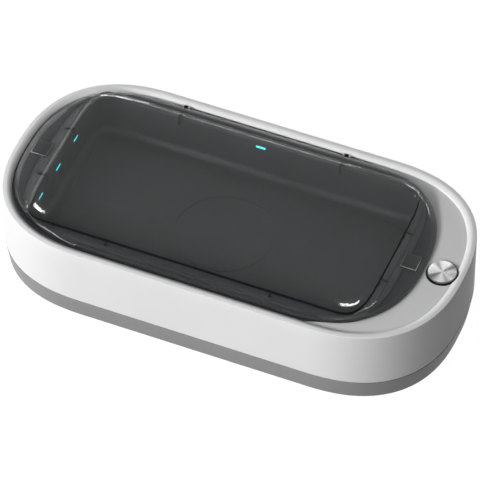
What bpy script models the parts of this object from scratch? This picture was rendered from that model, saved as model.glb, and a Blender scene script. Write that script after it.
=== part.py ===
"""Sanitiser box for a phone.

An oval white case on a grey base.  A smoked clear lid, hinged along the back,
covers a dark cavity lit by small lamps behind windows in its walls.  A
charging pad lies on the cavity's floor, and one push button works the box.

The box stands on the plane z = 0 with its centre over the origin, its length
along X, the button at +X and the hinge at +Y.
"""

import math

import bmesh
import bpy
import numpy as np

# Case outline seen from above: straight sides between two superellipse ends
box_length = 0.2000
box_width = 0.1005
box_end = 0.0508
BOX_POWER = 2.45

# Heights above the underside of the base, and the feet under it
foot_stand = 0.0008
base_height = 0.0096
rim_height = 0.0379
deck_drop = 0.0017
floor_height = 0.0172

# Gaps between pieces and the overrun that every cut shares
seat_gap = 0.0003
slide_gap = 0.0002
pin_gap = 0.0001
overrun = 0.0010

# White wall, its rim and the lip over the deck
shell_wall = 0.0022
rim_round = 0.0006
rim_band = 0.0018
lip_reach = 0.0040
lip_edge = 0.0002

# Grey base
base_floor = 0.0022
base_taper = 0.0013
base_chamfer = 0.0005
tongue_wall = 0.0013
tongue_height = 0.0024

# Deck
deck_thickness = 0.0016

# Corner posts that tie deck, wall and base together
post_out = 0.0046
post_margin = 0.0010
deck_post_radius = 0.0025
base_post_radius = 0.0029

# Cavity: how far the inside of its walls stays in from the case's outside
cavity_left_margin = 0.01805
cavity_right_margin = 0.03075
cavity_side_margin = 0.01115
cavity_end = 0.0160
CAVITY_POWER = 5.0
tray_wall = 0.0014
tray_floor = 0.0016
tray_fillet = 0.0030
tray_rim_reach = 0.0022
tray_rim_thickness = 0.0005
tray_rim_round = 0.0002

# Charging pad on the cavity's floor
pad_margin = 0.0056
pad_end = 0.0130
PAD_POWER = 5.0
pad_thickness = 0.0010
pad_chamfer = 0.0003
pad_ring_radius = 0.0210
pad_ring_width = 0.0012
pad_ring_depth = 0.0003

# Lid outline: how far it stays in from the case's outside
lid_left_margin = 0.0044
lid_right_margin = 0.0171
lid_side_margin = 0.00505
lid_left_end = 0.0506
LID_LEFT_POWER = 2.53
lid_right_end = 0.0430
LID_RIGHT_POWER = 2.39

# Lid section: a skirt that curves up to a step, and a raised panel inside it
lid_edge_height = 0.0007
lid_edge_chamfer = 0.0001
skirt_rise = 0.0021
SKIRT_POWER = 2.4
step_offset = 0.0002
step_draft = 0.00015
step_rise = 0.0007
panel_crown_insets = (0.0006, 0.0016, 0.0040, 0.0090, 0.0160)
panel_crown_rises = (0.0005, 0.0008, 0.0011, 0.0013, 0.0014)
panel_thickness = 0.0016
skirt_thickness = 0.0014
skirt_shoulder_rise = 0.0007
SKIRT_SHARES = (0.97, 0.60, 0.32, 0.15, 0.05)
SHOULDER_SHARES = (0.05, 0.55, 0.62)
CORNER_KEEP_SHARE = 0.40

# Seal in a rebate under the lid
seal_inset = 0.0012
seal_width = 0.0008
seal_thickness = 0.00035
seal_rebate = 0.0005

# Locating ribs under the lid
rib_side_margin = 0.0391
rib_end_spread = 0.0140
rib_width = 0.0007
rib_clearance = 0.0004
rib_thickness = 0.0010
rib_depth = 0.0026
rib_reach = 0.0024
rib_root = 0.0012
rib_web = 0.0010

# Magnets in the lid's ends, and the steel plates under the deck
magnet_length = 0.0070
magnet_width = 0.0076
magnet_thickness = 0.0008
magnet_margin = 0.0028
latch_length = 0.0088
latch_width = 0.0096
latch_thickness = 0.0010

# Hinges
hinge_rise = 0.0008
knuckle_radius = 0.00095
knuckle_width = 0.0016
ear_radius = 0.00090
ear_width = 0.0008
pin_radius = 0.00040
bracket_length = 0.0120
bracket_width = 0.0050
bracket_thickness = 0.0012
notch_depth = 0.0013
lug_root = 0.0010
lug_height = 0.00075

# Button
button_margin = 0.0097
button_radius = 0.00615
button_proud = 0.0012
button_thickness = 0.0026
button_chamfer = 0.0004
button_travel = 0.0006
stem_radius = 0.0022
bezel_gap = 0.00015
bezel_wall = 0.00025
bezel_depth = 0.0013
bezel_proud = 0.0001
button_post_radius = 0.0015
button_post_margin = 0.0009
switch_size = 0.0062
switch_height = 0.0034
plunger_radius = 0.0017
plunger_proud = 0.0014
plunger_sunk = 0.0010
button_board_length = 0.0130
button_board_margin = 0.0005
button_board_thickness = 0.0012

# Lamps behind slits in the cavity walls
lamp_side_margin = 0.0211
end_lamp_drop = 0.0076
side_slit_drop = 0.0032
side_lamp_drop = 0.0039
slit_length = 0.0046
slit_height = 0.0016
window_plate = 0.0008
window_width = 0.0034
window_margin = 0.0030
nose_recess = 0.0001
lamp_size = 0.0035
lamp_body = 0.0009
lamp_lens = 0.0026
lamp_lens_height = 0.0003
lamp_board_margin = 0.0020
side_board_margin = 0.0057
end_board_height = 0.0082
side_board_height = 0.0056
lamp_board_thickness = 0.0010
shelf_thickness = 0.0012
shelf_margin = 0.0010

# Charging coil stack under the cavity's floor
coil_inner_radius = 0.0095
coil_outer_radius = 0.0215
coil_thickness = 0.0015
ferrite_size = 0.0500
ferrite_thickness = 0.0008
holder_size = 0.0600
holder_thickness = 0.0012
holder_leg_radius = 0.0020
holder_leg_margin = 0.0022

# Main board on four standoffs
board_left_gap = 0.00235
board_right_margin = 0.0360
board_front_margin = 0.02225
board_back_margin = 0.00625
board_thickness = 0.0016
board_hole_margin = 0.0034
standoff_radius = 0.0024
chip_size = 0.0070
chip_height = 0.0009
inductor_size = 0.0060
inductor_height = 0.0024
regulator_length = 0.0050
regulator_width = 0.0040
regulator_height = 0.0015
CHIP_SHARES = (0.30, 0.35)
INDUCTOR_SHARES = (0.70, 0.30)
REGULATOR_SHARES = (0.35, 0.72)

# Charging socket in the back wall
socket_rise = 0.0018
socket_width = 0.0090
socket_height = 0.0032
socket_depth = 0.0078
socket_wall = 0.0003
socket_recess = 0.0010
socket_bore_depth = 0.0062
blade_width = 0.0066
blade_thickness = 0.0007

# Screws
screw_radius = 0.00095
screw_head_radius = 0.0020
screw_head_height = 0.0011
screw_well_radius = 0.0024
case_screw_length = 0.0180
case_screw_well = 0.0030
board_screw_length = 0.0060
cross_length = 0.0020
cross_width = 0.0005
cross_depth = 0.0006

# Lid sensor under the deck
sensor_length = 0.0040
sensor_width = 0.0030
sensor_thickness = 0.0014

# Feet
foot_end_margin = 0.0400
foot_side_margin = 0.01925
foot_radius = 0.0050
foot_pocket = 0.0010
foot_chamfer = 0.0003

# Facet counts
END_STEPS = 10
ROUND_STEPS = 28
SMALL_STEPS = 14
SOCKET_STEPS = 4

# Levels worked out from the heights above
underside = foot_stand
base_top = underside + base_height
wall_bottom = base_top + seat_gap
rim_top = underside + rim_height
deck_top = rim_top - deck_drop
deck_bottom = deck_top - deck_thickness
lip_bottom = deck_top + seat_gap
floor_top = underside + floor_height
floor_bottom = floor_top - tray_floor
tongue_top = base_top + tongue_height
cavity_left = cavity_left_margin - box_length / 2
cavity_right = box_length / 2 - cavity_right_margin
cavity_side = box_width / 2 - cavity_side_margin
cavity_centre = (cavity_left + cavity_right) / 2
rib_spread = cavity_right - cavity_centre - rib_side_margin
lamp_spacing = cavity_side - lamp_side_margin
lid_bottom = deck_top + seat_gap
lid_left = lid_left_margin - box_length / 2
lid_right = box_length / 2 - lid_right_margin
lid_side = box_width / 2 - lid_side_margin
hinge_y = lid_side
hinge_z = deck_top + hinge_rise
tongue_inset = shell_wall + seat_gap
screw_hole_radius = screw_radius + seat_gap
button_x = box_length / 2 - button_margin
board_left = cavity_centre + holder_size / 2 + board_left_gap
board_right = box_length / 2 - board_right_margin
board_front = board_front_margin - box_width / 2
board_back = box_width / 2 - board_back_margin
socket_x = (board_left + board_right) / 2
board_top = base_top + socket_rise - seat_gap
board_bottom = board_top - board_thickness
foot_x = box_length / 2 - foot_end_margin
foot_y = box_width / 2 - foot_side_margin


def outline(left, right, side, left_end, left_power, right_end, right_power):
    """Plan outline, anticlockwise: a superellipse end at each side joined by
    straight lines."""
    turn = np.linspace(-np.pi / 2, np.pi / 2, 2 * END_STEPS + 1)
    across = np.abs(np.cos(turn))
    along = np.sign(np.sin(turn)) * np.abs(np.sin(turn)) ** (2 / right_power)
    back_along = np.sign(np.sin(turn)) * np.abs(np.sin(turn)) ** (2 / left_power)
    right_x = right - right_end + right_end * across ** (2 / right_power)
    left_x = left + left_end - left_end * across ** (2 / left_power)
    x = np.concatenate([right_x, left_x])
    y = np.concatenate([side * along, -side * back_along])
    return np.column_stack([x, y])


def inset(points, distance):
    """The outline moved inwards by one distance all round."""
    ahead = np.roll(points, -1, axis=0) - points
    behind = points - np.roll(points, 1, axis=0)
    ahead /= np.linalg.norm(ahead, axis=1, keepdims=True)
    behind /= np.linalg.norm(behind, axis=1, keepdims=True)
    tangent = ahead + behind
    tangent /= np.linalg.norm(tangent, axis=1, keepdims=True)
    inward = np.column_stack([-tangent[:, 1], tangent[:, 0]])
    spread = np.sum(tangent * ahead, axis=1, keepdims=True)
    return points + inward * distance / spread


def case_outline(distance):
    """The case outline, inset by a distance."""
    whole = outline(
        -box_length / 2, box_length / 2, box_width / 2, box_end, BOX_POWER, box_end, BOX_POWER
    )
    return inset(whole, distance)


def cavity_outline(distance):
    """The cavity's inner outline, inset by a small distance or grown by a
    negative one."""
    whole = outline(
        cavity_left, cavity_right, cavity_side, cavity_end, CAVITY_POWER, cavity_end, CAVITY_POWER
    )
    return inset(whole, distance)


def panel_outline(distance):
    """The outline of the lid's raised panel, drawn in by a distance while its
    corners stay round."""
    grown = step_offset - distance
    end = cavity_end - CORNER_KEEP_SHARE * distance
    return outline(
        cavity_left - grown,
        cavity_right + grown,
        cavity_side + grown,
        end,
        CAVITY_POWER,
        end,
        CAVITY_POWER,
    )


def lid_outline():
    """The lid's outer outline."""
    return outline(
        lid_left, lid_right, lid_side, lid_left_end, LID_LEFT_POWER, lid_right_end, LID_RIGHT_POWER
    )


def skirt_outline(share):
    """A line on the lid's skirt: share 0 is the lid's edge and share 1 the
    foot of the panel's step."""
    return (1 - share) * lid_outline() + share * panel_outline(0)


def circle(radius, steps):
    """Corners of a regular polygon, anticlockwise."""
    turn = np.arange(steps) * 2 * np.pi / steps
    return radius * np.column_stack([np.cos(turn), np.sin(turn)])


def rectangle(low, high):
    """Four corners between a low and a high corner, anticlockwise."""
    return np.array([low, (high[0], low[1]), high, (low[0], high[1])])


def level(points, height):
    """A plan outline raised to a height."""
    return np.column_stack([points, np.full(len(points), height)])


def skin(rings, closed=False):
    """Vertices and faces of a body whose skin runs from ring to ring.  The
    end rings are capped, or joined to each other when closed."""
    count = len(rings[0])
    vertices = np.concatenate(rings)
    faces = []
    for step in range(len(rings) if closed else len(rings) - 1):
        low = step * count
        high = (step + 1) % len(rings) * count
        for corner in range(count):
            following = (corner + 1) % count
            faces.append((low + corner, low + following, high + following, high + corner))
    if not closed:
        faces.append(tuple(range(count)))
        faces.append(tuple(range(len(vertices) - count, len(vertices))))
    return vertices, faces


def box(low, high):
    """Skin of a box between two corners."""
    plan = rectangle(low[:2], high[:2])
    return skin([level(plan, low[2]), level(plan, high[2])])


def turned(profile, centre, steps, closed=False):
    """Skin of a turned body: each (radius, height) of the profile is a ring
    round an upright axis through the centre."""
    rings = [level(circle(radius, steps) + centre, height) for radius, height in profile]
    return skin(rings, closed)


def along_x(points, low, high):
    """Skin of a (y, z) outline drawn out along X from low to high."""
    rings = [np.column_stack([np.full(len(points), x), points]) for x in (low, high)]
    return skin(rings)


def piece(name, skins, origin=(0, 0, 0)):
    """One object from one or more skins, with its own origin."""
    shape = bmesh.new()
    for vertices, faces in skins:
        corners = [shape.verts.new(point) for point in vertices - np.array(origin)]
        for face in faces:
            shape.faces.new([corners[index] for index in face])
    bmesh.ops.recalc_face_normals(shape, faces=shape.faces)
    mesh = bpy.data.meshes.new(name)
    shape.to_mesh(mesh)
    shape.free()
    made = bpy.data.objects.new(name, mesh)
    made.location = origin
    bpy.context.collection.objects.link(made)
    return made


def tool(name, skins):
    """A hidden helper body for a cut or a join."""
    helper = piece(name, skins)
    helper.hide_render = True
    helper.display_type = "WIRE"
    return helper


def cut(target, name, skins):
    """Cuts the skins out of the target."""
    step = target.modifiers.new(name, "BOOLEAN")
    step.operation = "DIFFERENCE"
    step.object = tool(name, skins)


def join(target, name, skins):
    """Joins the skins to the target."""
    step = target.modifiers.new(name, "BOOLEAN")
    step.operation = "UNION"
    step.object = tool(name, skins)


def paint(made, colour, roughness, metallic=0.0, alpha=1.0):
    """Gives an object its own material and smooth rounds."""
    finish = bpy.data.materials.new(made.name)
    finish.use_nodes = True
    shader = finish.node_tree.nodes["Principled BSDF"]
    shader.inputs["Base Color"].default_value = (*colour, 1.0)
    shader.inputs["Roughness"].default_value = roughness
    shader.inputs["Metallic"].default_value = metallic
    shader.inputs["Alpha"].default_value = alpha
    made.data.materials.append(finish)
    made.data.shade_smooth()
    made.data.set_sharp_from_angle(angle=math.radians(35))
    return made


def wall_box(side, along, out, height):
    """Skin of a box on one wall of the cavity.  Along runs parallel to the
    wall from its middle, out runs outwards from its inner face."""
    if side == "left":
        low = (cavity_left - out[1], along[0], height[0])
        high = (cavity_left - out[0], along[1], height[1])
    elif side == "right":
        low = (cavity_right + out[0], along[0], height[0])
        high = (cavity_right + out[1], along[1], height[1])
    elif side == "back":
        low = (cavity_centre + along[0], cavity_side + out[0], height[0])
        high = (cavity_centre + along[1], cavity_side + out[1], height[1])
    else:
        low = (cavity_centre + along[0], -cavity_side - out[1], height[0])
        high = (cavity_centre + along[1], -cavity_side - out[0], height[1])
    return box(low, high)


def span(middle, width):
    """Both ends of a width round its middle."""
    return middle - width / 2, middle + width / 2


def lamp_places(side):
    """Places of the lamps along a wall of the cavity."""
    if side in ("left", "right"):
        return (-lamp_spacing, 0, lamp_spacing)
    return (0,)


def slit_level(side):
    """Height of the slits in a wall of the cavity."""
    return deck_top - (end_lamp_drop if side in ("left", "right") else side_slit_drop)


def lamp_level(side):
    """Height of the lamps behind a wall of the cavity."""
    return deck_top - (end_lamp_drop if side in ("left", "right") else side_lamp_drop)


def lamp_board_length(side):
    """Length of a lamp board along its wall."""
    if side in ("left", "right"):
        return 2 * (lamp_spacing + lamp_board_margin) + slit_length
    return slit_length + 2 * side_board_margin


def case_side(x, distance):
    """Half-width of the case outline, inset by a distance, at a place along X."""
    points = case_outline(distance)
    upper = points[points[:, 1] > 0]
    order = np.argsort(upper[:, 0])
    return np.interp(x, upper[order, 0], upper[order, 1])


def post_places():
    """Centres of the four corner posts, just inside the wall and clear of
    the cavity's corners."""
    distance = shell_wall + seat_gap + deck_post_radius + post_margin
    places = []
    for x in (cavity_left - post_out, cavity_right + post_out):
        side = case_side(x, distance)
        places += [(x, -side), (x, side)]
    return places


def hinge_places():
    """Middles of the two hinges along X."""
    return {"left": cavity_centre - rib_spread, "right": cavity_centre + rib_spread}


def standoff_places():
    """Centres of the main board's four fixing holes."""
    xs = (board_left + board_hole_margin, board_right - board_hole_margin)
    ys = (board_front + board_hole_margin, board_back - board_hole_margin)
    return [(x, y) for x in xs for y in ys]


def make_outer_shell():
    """White oval wall with a flat rim and a bevelled lip over the deck."""
    rings = [(0, wall_bottom)]
    for turn in (0, 30, 60, 90):
        across = rim_round * (1 - math.cos(math.radians(turn)))
        rings.append((across, rim_top - rim_round * (1 - math.sin(math.radians(turn)))))
    rings += [
        (rim_band, rim_top),
        (lip_reach, lip_bottom + lip_edge),
        (lip_reach, lip_bottom),
        (shell_wall, lip_bottom),
        (shell_wall, wall_bottom),
    ]
    shell = piece(
        "outer_shell",
        [skin([level(case_outline(across), height) for across, height in rings], closed=True)],
    )
    cut(shell, "socket_opening", [socket_block(seat_gap, box_width / 2 + overrun)])
    hole = button_hole() + slide_gap
    profile = [(hole, deck_top), (hole, rim_top + overrun)]
    cut(shell, "button_notch", [turned(profile, (button_x, 0), ROUND_STEPS)])
    paint(shell, (0.86, 0.86, 0.86), 0.38)


def socket_level():
    """Height of the charging socket's middle."""
    return board_top + seat_gap + socket_height / 2


def socket_ring(grow, y):
    """Ring of the socket's stadium outline, upright in XZ at a place along Y."""
    radius = socket_height / 2 + grow
    reach = socket_width / 2 - socket_height / 2
    turn = np.linspace(-np.pi / 2, np.pi / 2, 2 * SOCKET_STEPS + 1)
    x = np.concatenate([reach + radius * np.cos(turn), -reach - radius * np.cos(turn)])
    z = np.concatenate([radius * np.sin(turn), -radius * np.sin(turn)])
    return np.column_stack([socket_x + x, np.full(len(x), y), socket_level() + z])


def socket_block(grow, back):
    """Skin of the socket's outline, grown and drawn out to a place along Y."""
    front = box_width / 2 - shell_wall - overrun
    return skin([socket_ring(grow, front), socket_ring(grow, back)])


def make_lower_housing():
    """Grey base tray with a tongue that locates the wall, four screw posts,
    four board standoffs and pockets for the feet."""
    inner = tongue_inset + tongue_wall
    rings = [
        (base_taper + base_chamfer, underside),
        (base_taper, underside + base_chamfer),
        (0, base_top),
        (tongue_inset, base_top),
        (tongue_inset, tongue_top),
        (inner, tongue_top),
        (inner, underside + base_floor),
    ]
    base = piece(
        "lower_housing",
        [skin([level(case_outline(across), height) for across, height in rings])],
    )
    low = underside + base_floor / 2
    posts = [
        turned([(base_post_radius, low), (base_post_radius, tongue_top)], place, ROUND_STEPS)
        for place in post_places()
    ]
    stands = [
        turned([(standoff_radius, low), (standoff_radius, board_bottom - seat_gap)], place, SMALL_STEPS)
        for place in standoff_places()
    ]
    join(base, "base_posts", posts)
    join(base, "board_standoffs", stands)
    holes = []
    for place in post_places():
        profile = [
            (screw_well_radius, underside - overrun),
            (screw_well_radius, underside + case_screw_well),
            (screw_hole_radius, underside + case_screw_well),
            (screw_hole_radius, tongue_top + overrun),
        ]
        holes.append(turned(profile, place, SMALL_STEPS))
    for place in standoff_places():
        top = board_bottom - seat_gap + overrun
        profile = [
            (screw_hole_radius, board_top - board_screw_length - seat_gap),
            (screw_hole_radius, top),
        ]
        holes.append(turned(profile, place, SMALL_STEPS))
    for x in (-foot_x, foot_x):
        for y in (-foot_y, foot_y):
            radius = foot_radius + seat_gap
            profile = [(radius, underside - overrun), (radius, underside + foot_pocket)]
            holes.append(turned(profile, (x, y), ROUND_STEPS))
    cut(base, "base_holes", holes)
    reach = socket_width / 2 + seat_gap
    notch_low = socket_level() - socket_height / 2 - seat_gap
    notch = box(
        (socket_x - reach, box_width / 2 - inner - overrun, notch_low),
        (socket_x + reach, box_width / 2 - shell_wall, tongue_top + overrun),
    )
    cut(base, "socket_notch", [notch])
    paint(base, (0.23, 0.23, 0.23), 0.45)


def make_deck_plate():
    """Satin grey deck with the cavity's opening, the button's hole, slots for
    the hinges, four posts for the case screws and two for the button's board."""
    edge = case_outline(shell_wall + seat_gap)
    deck = piece("deck_plate", [skin([level(edge, deck_bottom), level(edge, deck_top)])])
    middle = deck_bottom + deck_thickness / 2
    posts = [
        turned([(deck_post_radius, tongue_top + seat_gap), (deck_post_radius, middle)], place, ROUND_STEPS)
        for place in post_places()
    ]
    for side in (-1, 1):
        place = (button_x, side * button_post_y())
        profile = [(button_post_radius, switch_bottom()), (button_post_radius, middle)]
        posts.append(turned(profile, place, SMALL_STEPS))
    join(deck, "deck_posts", posts)
    step = deck_top - tray_rim_thickness - seat_gap
    rim_cut = cavity_outline(-tray_rim_reach - seat_gap)
    wall_cut = cavity_outline(-tray_wall - seat_gap)
    opening = skin(
        [
            level(wall_cut, deck_bottom - overrun),
            level(wall_cut, step),
            level(rim_cut, step),
            level(rim_cut, deck_top + overrun),
        ]
    )
    cut(deck, "cavity_opening", [opening])
    hole = button_hole()
    profile = [(hole, deck_bottom - overrun), (hole, deck_top + overrun)]
    holes = [turned(profile, (button_x, 0), ROUND_STEPS)]
    for place in post_places():
        profile = [
            (screw_hole_radius, tongue_top - overrun),
            (screw_hole_radius, case_screw_top() + overrun),
        ]
        holes.append(turned(profile, place, SMALL_STEPS))
    for place in hinge_places().values():
        reach = knuckle_width / 2 + slide_gap + ear_width + seat_gap
        low = (place - reach, hinge_y - notch_depth, deck_bottom - overrun)
        high = (place + reach, hinge_y + ear_radius + seat_gap, deck_top + overrun)
        holes.append(box(low, high))
    cut(deck, "deck_holes", holes)
    paint(deck, (0.42, 0.42, 0.43), 0.40, metallic=0.3)


def button_hole():
    """Radius of the button's hole in the deck."""
    return button_radius + bezel_gap + bezel_wall + seat_gap


def button_post_y():
    """How far the posts of the button's board stand from its middle."""
    return button_hole() + button_post_margin + button_post_radius


def switch_bottom():
    """Foot of the switch, under its plunger and the button's stem."""
    return stem_bottom() - seat_gap - plunger_proud - switch_height


def stem_bottom():
    """Foot of the button's stem."""
    return deck_top + button_proud - button_thickness - stem_length()


def stem_length():
    """Length of the button's stem below its cap."""
    return deck_thickness + button_travel


def case_screw_top():
    """Tip of a case screw."""
    return underside + case_screw_well - seat_gap + case_screw_length


def make_tray_liner():
    """Dark cavity: walls and floor in one moulding, hung by its rim in the
    deck's rebate, with slits for the lamps and a shelf for each lamp board."""
    outer = tray_wall
    rim_bottom = deck_top - tray_rim_thickness
    rings = [
        (-outer + tray_fillet + tray_floor, floor_bottom),
        (-outer, floor_bottom + tray_fillet + tray_floor),
        (-outer, rim_bottom),
        (-tray_rim_reach, rim_bottom),
        (-tray_rim_reach, deck_top - tray_rim_round),
        (-tray_rim_reach + tray_rim_round, deck_top),
        (-tray_rim_round, deck_top),
        (0, deck_top - tray_rim_round),
    ]
    for turn in (0, 30, 60, 90):
        across = tray_fillet * (1 - math.cos(math.radians(turn)))
        rings.append((across, floor_top + tray_fillet * (1 - math.sin(math.radians(turn)))))
    tray = piece(
        "tray_liner",
        [skin([level(cavity_outline(across), height) for across, height in rings])],
    )
    shelves = []
    slits = []
    for side in ("left", "right", "back", "front"):
        shelf_top = lamp_board_span(side)[0] - seat_gap
        reach = lamp_board_out()[1] + shelf_margin
        shelf = wall_box(
            side,
            span(0, lamp_board_length(side) + shelf_margin),
            (tray_wall / 2, reach),
            (shelf_top - shelf_thickness, shelf_top),
        )
        shelves.append(shelf)
        for place in lamp_places(side):
            slit = wall_box(
                side,
                span(place, slit_length),
                (-overrun, tray_wall + seat_gap / 2),
                span(slit_level(side), slit_height),
            )
            slits.append(slit)
    join(tray, "lamp_shelves", shelves)
    cut(tray, "lamp_slits", slits)
    paint(tray, (0.055, 0.055, 0.06), 0.22)


def window_out():
    """Where a window's plate lies outwards from the cavity wall."""
    start = tray_wall + seat_gap
    return start, start + window_plate


def lamp_out():
    """Where a lamp lies outwards from the cavity wall."""
    start = window_out()[1] + seat_gap
    return start, start + lamp_lens_height + lamp_body


def lamp_board_out():
    """Where a lamp board lies outwards from the cavity wall."""
    start = lamp_out()[1] + seat_gap
    return start, start + lamp_board_thickness


def lamp_board_span(side):
    """Foot and top of a lamp board."""
    if side in ("left", "right"):
        return span(lamp_level(side), end_board_height)
    top = deck_bottom - seat_gap
    return top - side_board_height, top


def make_lamps():
    """Lamps, their boards and the clear windows whose noses fill the slits."""
    for side in ("left", "right", "back", "front"):
        places = lamp_places(side)
        run = places[-1] - places[0] + slit_length + window_margin
        plate = wall_box(side, span(0, run), window_out(), span(lamp_level(side), window_width))
        window = piece("uv_window_" + side, [plate])
        noses = [
            wall_box(
                side,
                span(place, slit_length - 2 * seat_gap),
                (nose_recess, window_out()[1] - window_plate / 2),
                span(slit_level(side), slit_height - 2 * seat_gap),
            )
            for place in places
        ]
        join(window, "window_noses_" + side, noses)
        paint(window, (0.55, 0.85, 0.9), 0.1, alpha=0.5)
        run = span(0, lamp_board_length(side))
        board = piece(
            "led_board_" + side,
            [wall_box(side, run, lamp_board_out(), lamp_board_span(side))],
        )
        paint(board, (0.85, 0.85, 0.82), 0.5)
        for number, place in enumerate(places, start=1):
            make_lamp(side, number if len(places) > 1 else 0, place)


def make_lamp(side, number, place):
    """One lamp: a square body with a smaller raised lens towards the cavity."""
    name = "uv_led_" + side + ("_" + str(number) if number else "")
    start, end = lamp_out()
    middle = start + lamp_lens_height
    lens = wall_box(
        side,
        span(place, lamp_lens),
        (start, middle + lamp_body / 2),
        span(lamp_level(side), lamp_lens),
    )
    body = wall_box(side, span(place, lamp_size), (middle, end), span(lamp_level(side), lamp_size))
    lamp = piece(name, [body])
    join(lamp, "lens_" + name, [lens])
    paint(lamp, (0.9, 0.9, 0.85), 0.3)


def make_charging_pad():
    """Soft pad under the phone, with a ring groove over the coil."""
    low = floor_top + seat_gap
    high = low + pad_thickness
    whole = outline(
        cavity_left + pad_margin,
        cavity_right - pad_margin,
        cavity_side - pad_margin,
        pad_end,
        PAD_POWER,
        pad_end,
        PAD_POWER,
    )
    rings = [
        level(whole, low),
        level(whole, high - pad_chamfer),
        level(inset(whole, pad_chamfer), high),
    ]
    pad = piece("charging_pad", [skin(rings)])
    inner = pad_ring_radius - pad_ring_width / 2
    outer = pad_ring_radius + pad_ring_width / 2
    groove = [
        (inner, high - pad_ring_depth),
        (outer, high - pad_ring_depth),
        (outer, high + overrun),
        (inner, high + overrun),
    ]
    cut(pad, "pad_groove", [turned(groove, (cavity_centre, 0), 2 * SMALL_STEPS, closed=True)])
    paint(pad, (0.07, 0.07, 0.075), 0.7)


def skirt_top(share):
    """Height of the skirt's top: it leaves the edge steeply and flattens
    towards the step."""
    edge = lid_bottom + lid_edge_height
    return edge + skirt_rise * (1 - (1 - share) ** SKIRT_POWER)


def make_lid_cover(origin):
    """Smoked clear lid: a curved skirt, a step and a slightly crowned panel,
    with locating ribs below, notches and lugs for the hinges, a rebate for
    the seal and pockets for the magnets."""
    step_top = skirt_top(1) + step_rise
    rings = []
    for across, rise in zip(reversed(panel_crown_insets), reversed(panel_crown_rises)):
        rings.append(level(panel_outline(across), step_top + rise))
    rings.append(level(panel_outline(step_draft), step_top))
    for share in SKIRT_SHARES:
        rings.append(level(skirt_outline(share), skirt_top(share)))
    rings.append(level(skirt_outline(0), lid_bottom + lid_edge_height))
    rings.append(level(skirt_outline(0), lid_bottom + lid_edge_chamfer))
    under = lid_bottom
    shoulder = [(SHOULDER_SHARES[0], under), (SHOULDER_SHARES[1], under)]
    shoulder += [(SHOULDER_SHARES[2], under + skirt_shoulder_rise), (1, skirt_top(1) - skirt_thickness)]
    for share, height in shoulder:
        rings.append(level(skirt_outline(share), height))
    for across, rise in zip(panel_crown_insets, panel_crown_rises):
        height = step_top + rise - panel_thickness
        rings.append(level(panel_outline(across + panel_thickness / 2), height))
    lid = piece("lid_cover", [skin(rings)], origin)
    join(lid, "lid_ribs", rib_skins())
    notches = []
    lugs = []
    knuckles = []
    for place in hinge_places().values():
        reach = knuckle_width / 2 + slide_gap + ear_width + seat_gap
        low = (place - reach, hinge_y - notch_depth, lid_bottom - overrun)
        high = (place + reach, hinge_y + overrun, lid_bottom + skirt_rise + overrun)
        notches.append(box(low, high))
        lug_top = hinge_z + knuckle_radius - slide_gap / 2
        low = (place - knuckle_width / 2, hinge_y - notch_depth - lug_root, lug_top - lug_height)
        high = (place + knuckle_width / 2, hinge_y, lug_top)
        lugs.append(box(low, high))
        knuckle = circle(knuckle_radius, SMALL_STEPS) + (hinge_y, hinge_z)
        knuckles.append(along_x(knuckle, place - knuckle_width / 2, place + knuckle_width / 2))
    cut(lid, "hinge_notches", notches)
    join(lid, "hinge_lugs", lugs)
    join(lid, "hinge_knuckles", knuckles)
    holes = []
    for place in hinge_places().values():
        bore = circle(pin_radius + pin_gap, SMALL_STEPS) + (hinge_y, hinge_z)
        reach = knuckle_width / 2 + overrun
        holes.append(along_x(bore, place - reach, place + reach))
    cut(lid, "lid_pin_holes", holes)
    outer = inset(lid_outline(), seal_inset - slide_gap)
    inner = inset(lid_outline(), seal_inset + seal_width + slide_gap)
    rebate = [
        level(outer, lid_bottom - overrun),
        level(outer, lid_bottom + seal_rebate),
        level(inner, lid_bottom + seal_rebate),
        level(inner, lid_bottom - overrun),
    ]
    cut(lid, "seal_rebate", [skin(rebate, closed=True)])
    pockets = [magnet_box(side, seat_gap) for side in ("left", "right")]
    cut(lid, "magnet_pockets", pockets)
    paint(lid, (0.05, 0.05, 0.055), 0.08, alpha=0.35)
    return lid


def rib_profile():
    """Outline of a locating rib: how far out from the cavity wall, and how
    high.  A tab hangs inside the wall, a web runs out under the skirt."""
    tab_in = -rib_clearance - rib_thickness
    tab_out = -rib_clearance
    web = lid_bottom + rib_web
    foot = lid_bottom - seat_gap - rib_depth
    step_top = skirt_top(1) + step_rise
    return np.array(
        [
            (tab_in, foot),
            (tab_out, foot),
            (tab_out, web),
            (rib_reach, web),
            (rib_reach, web + rib_root),
            (tab_in, step_top - panel_thickness / 2),
        ]
    )


def rib_skins():
    """The eight locating ribs: two on each side of the lid."""
    ribs = []
    profile = rib_profile()
    for place in (-rib_spread, rib_spread):
        for side in (-1, 1):
            outline_yz = np.column_stack([side * (cavity_side + profile[:, 0]), profile[:, 1]])
            middle = cavity_centre + place
            ribs.append(along_x(outline_yz, middle - rib_width / 2, middle + rib_width / 2))
    for place in (-rib_end_spread, rib_end_spread):
        for side in (-1, 1):
            x = cavity_centre + side * (cavity_right - cavity_centre + profile[:, 0])
            rings = [
                np.column_stack([x, np.full(len(x), y), profile[:, 1]])
                for y in span(place, rib_width)
            ]
            ribs.append(skin(rings))
    return ribs


def magnet_middle(side):
    """Middle of a magnet along X."""
    if side == "left":
        return lid_left + magnet_margin + magnet_length / 2
    return lid_right - magnet_margin - magnet_length / 2


def magnet_box(side, grow):
    """Skin of a magnet, or of its pocket when grown."""
    middle = magnet_middle(side)
    foot = lid_bottom + pin_gap if not grow else lid_bottom - overrun
    return box(
        (middle - magnet_length / 2 - grow, -magnet_width / 2 - grow, foot),
        (
            middle + magnet_length / 2 + grow,
            magnet_width / 2 + grow,
            lid_bottom + pin_gap + magnet_thickness + grow,
        ),
    )


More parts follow.
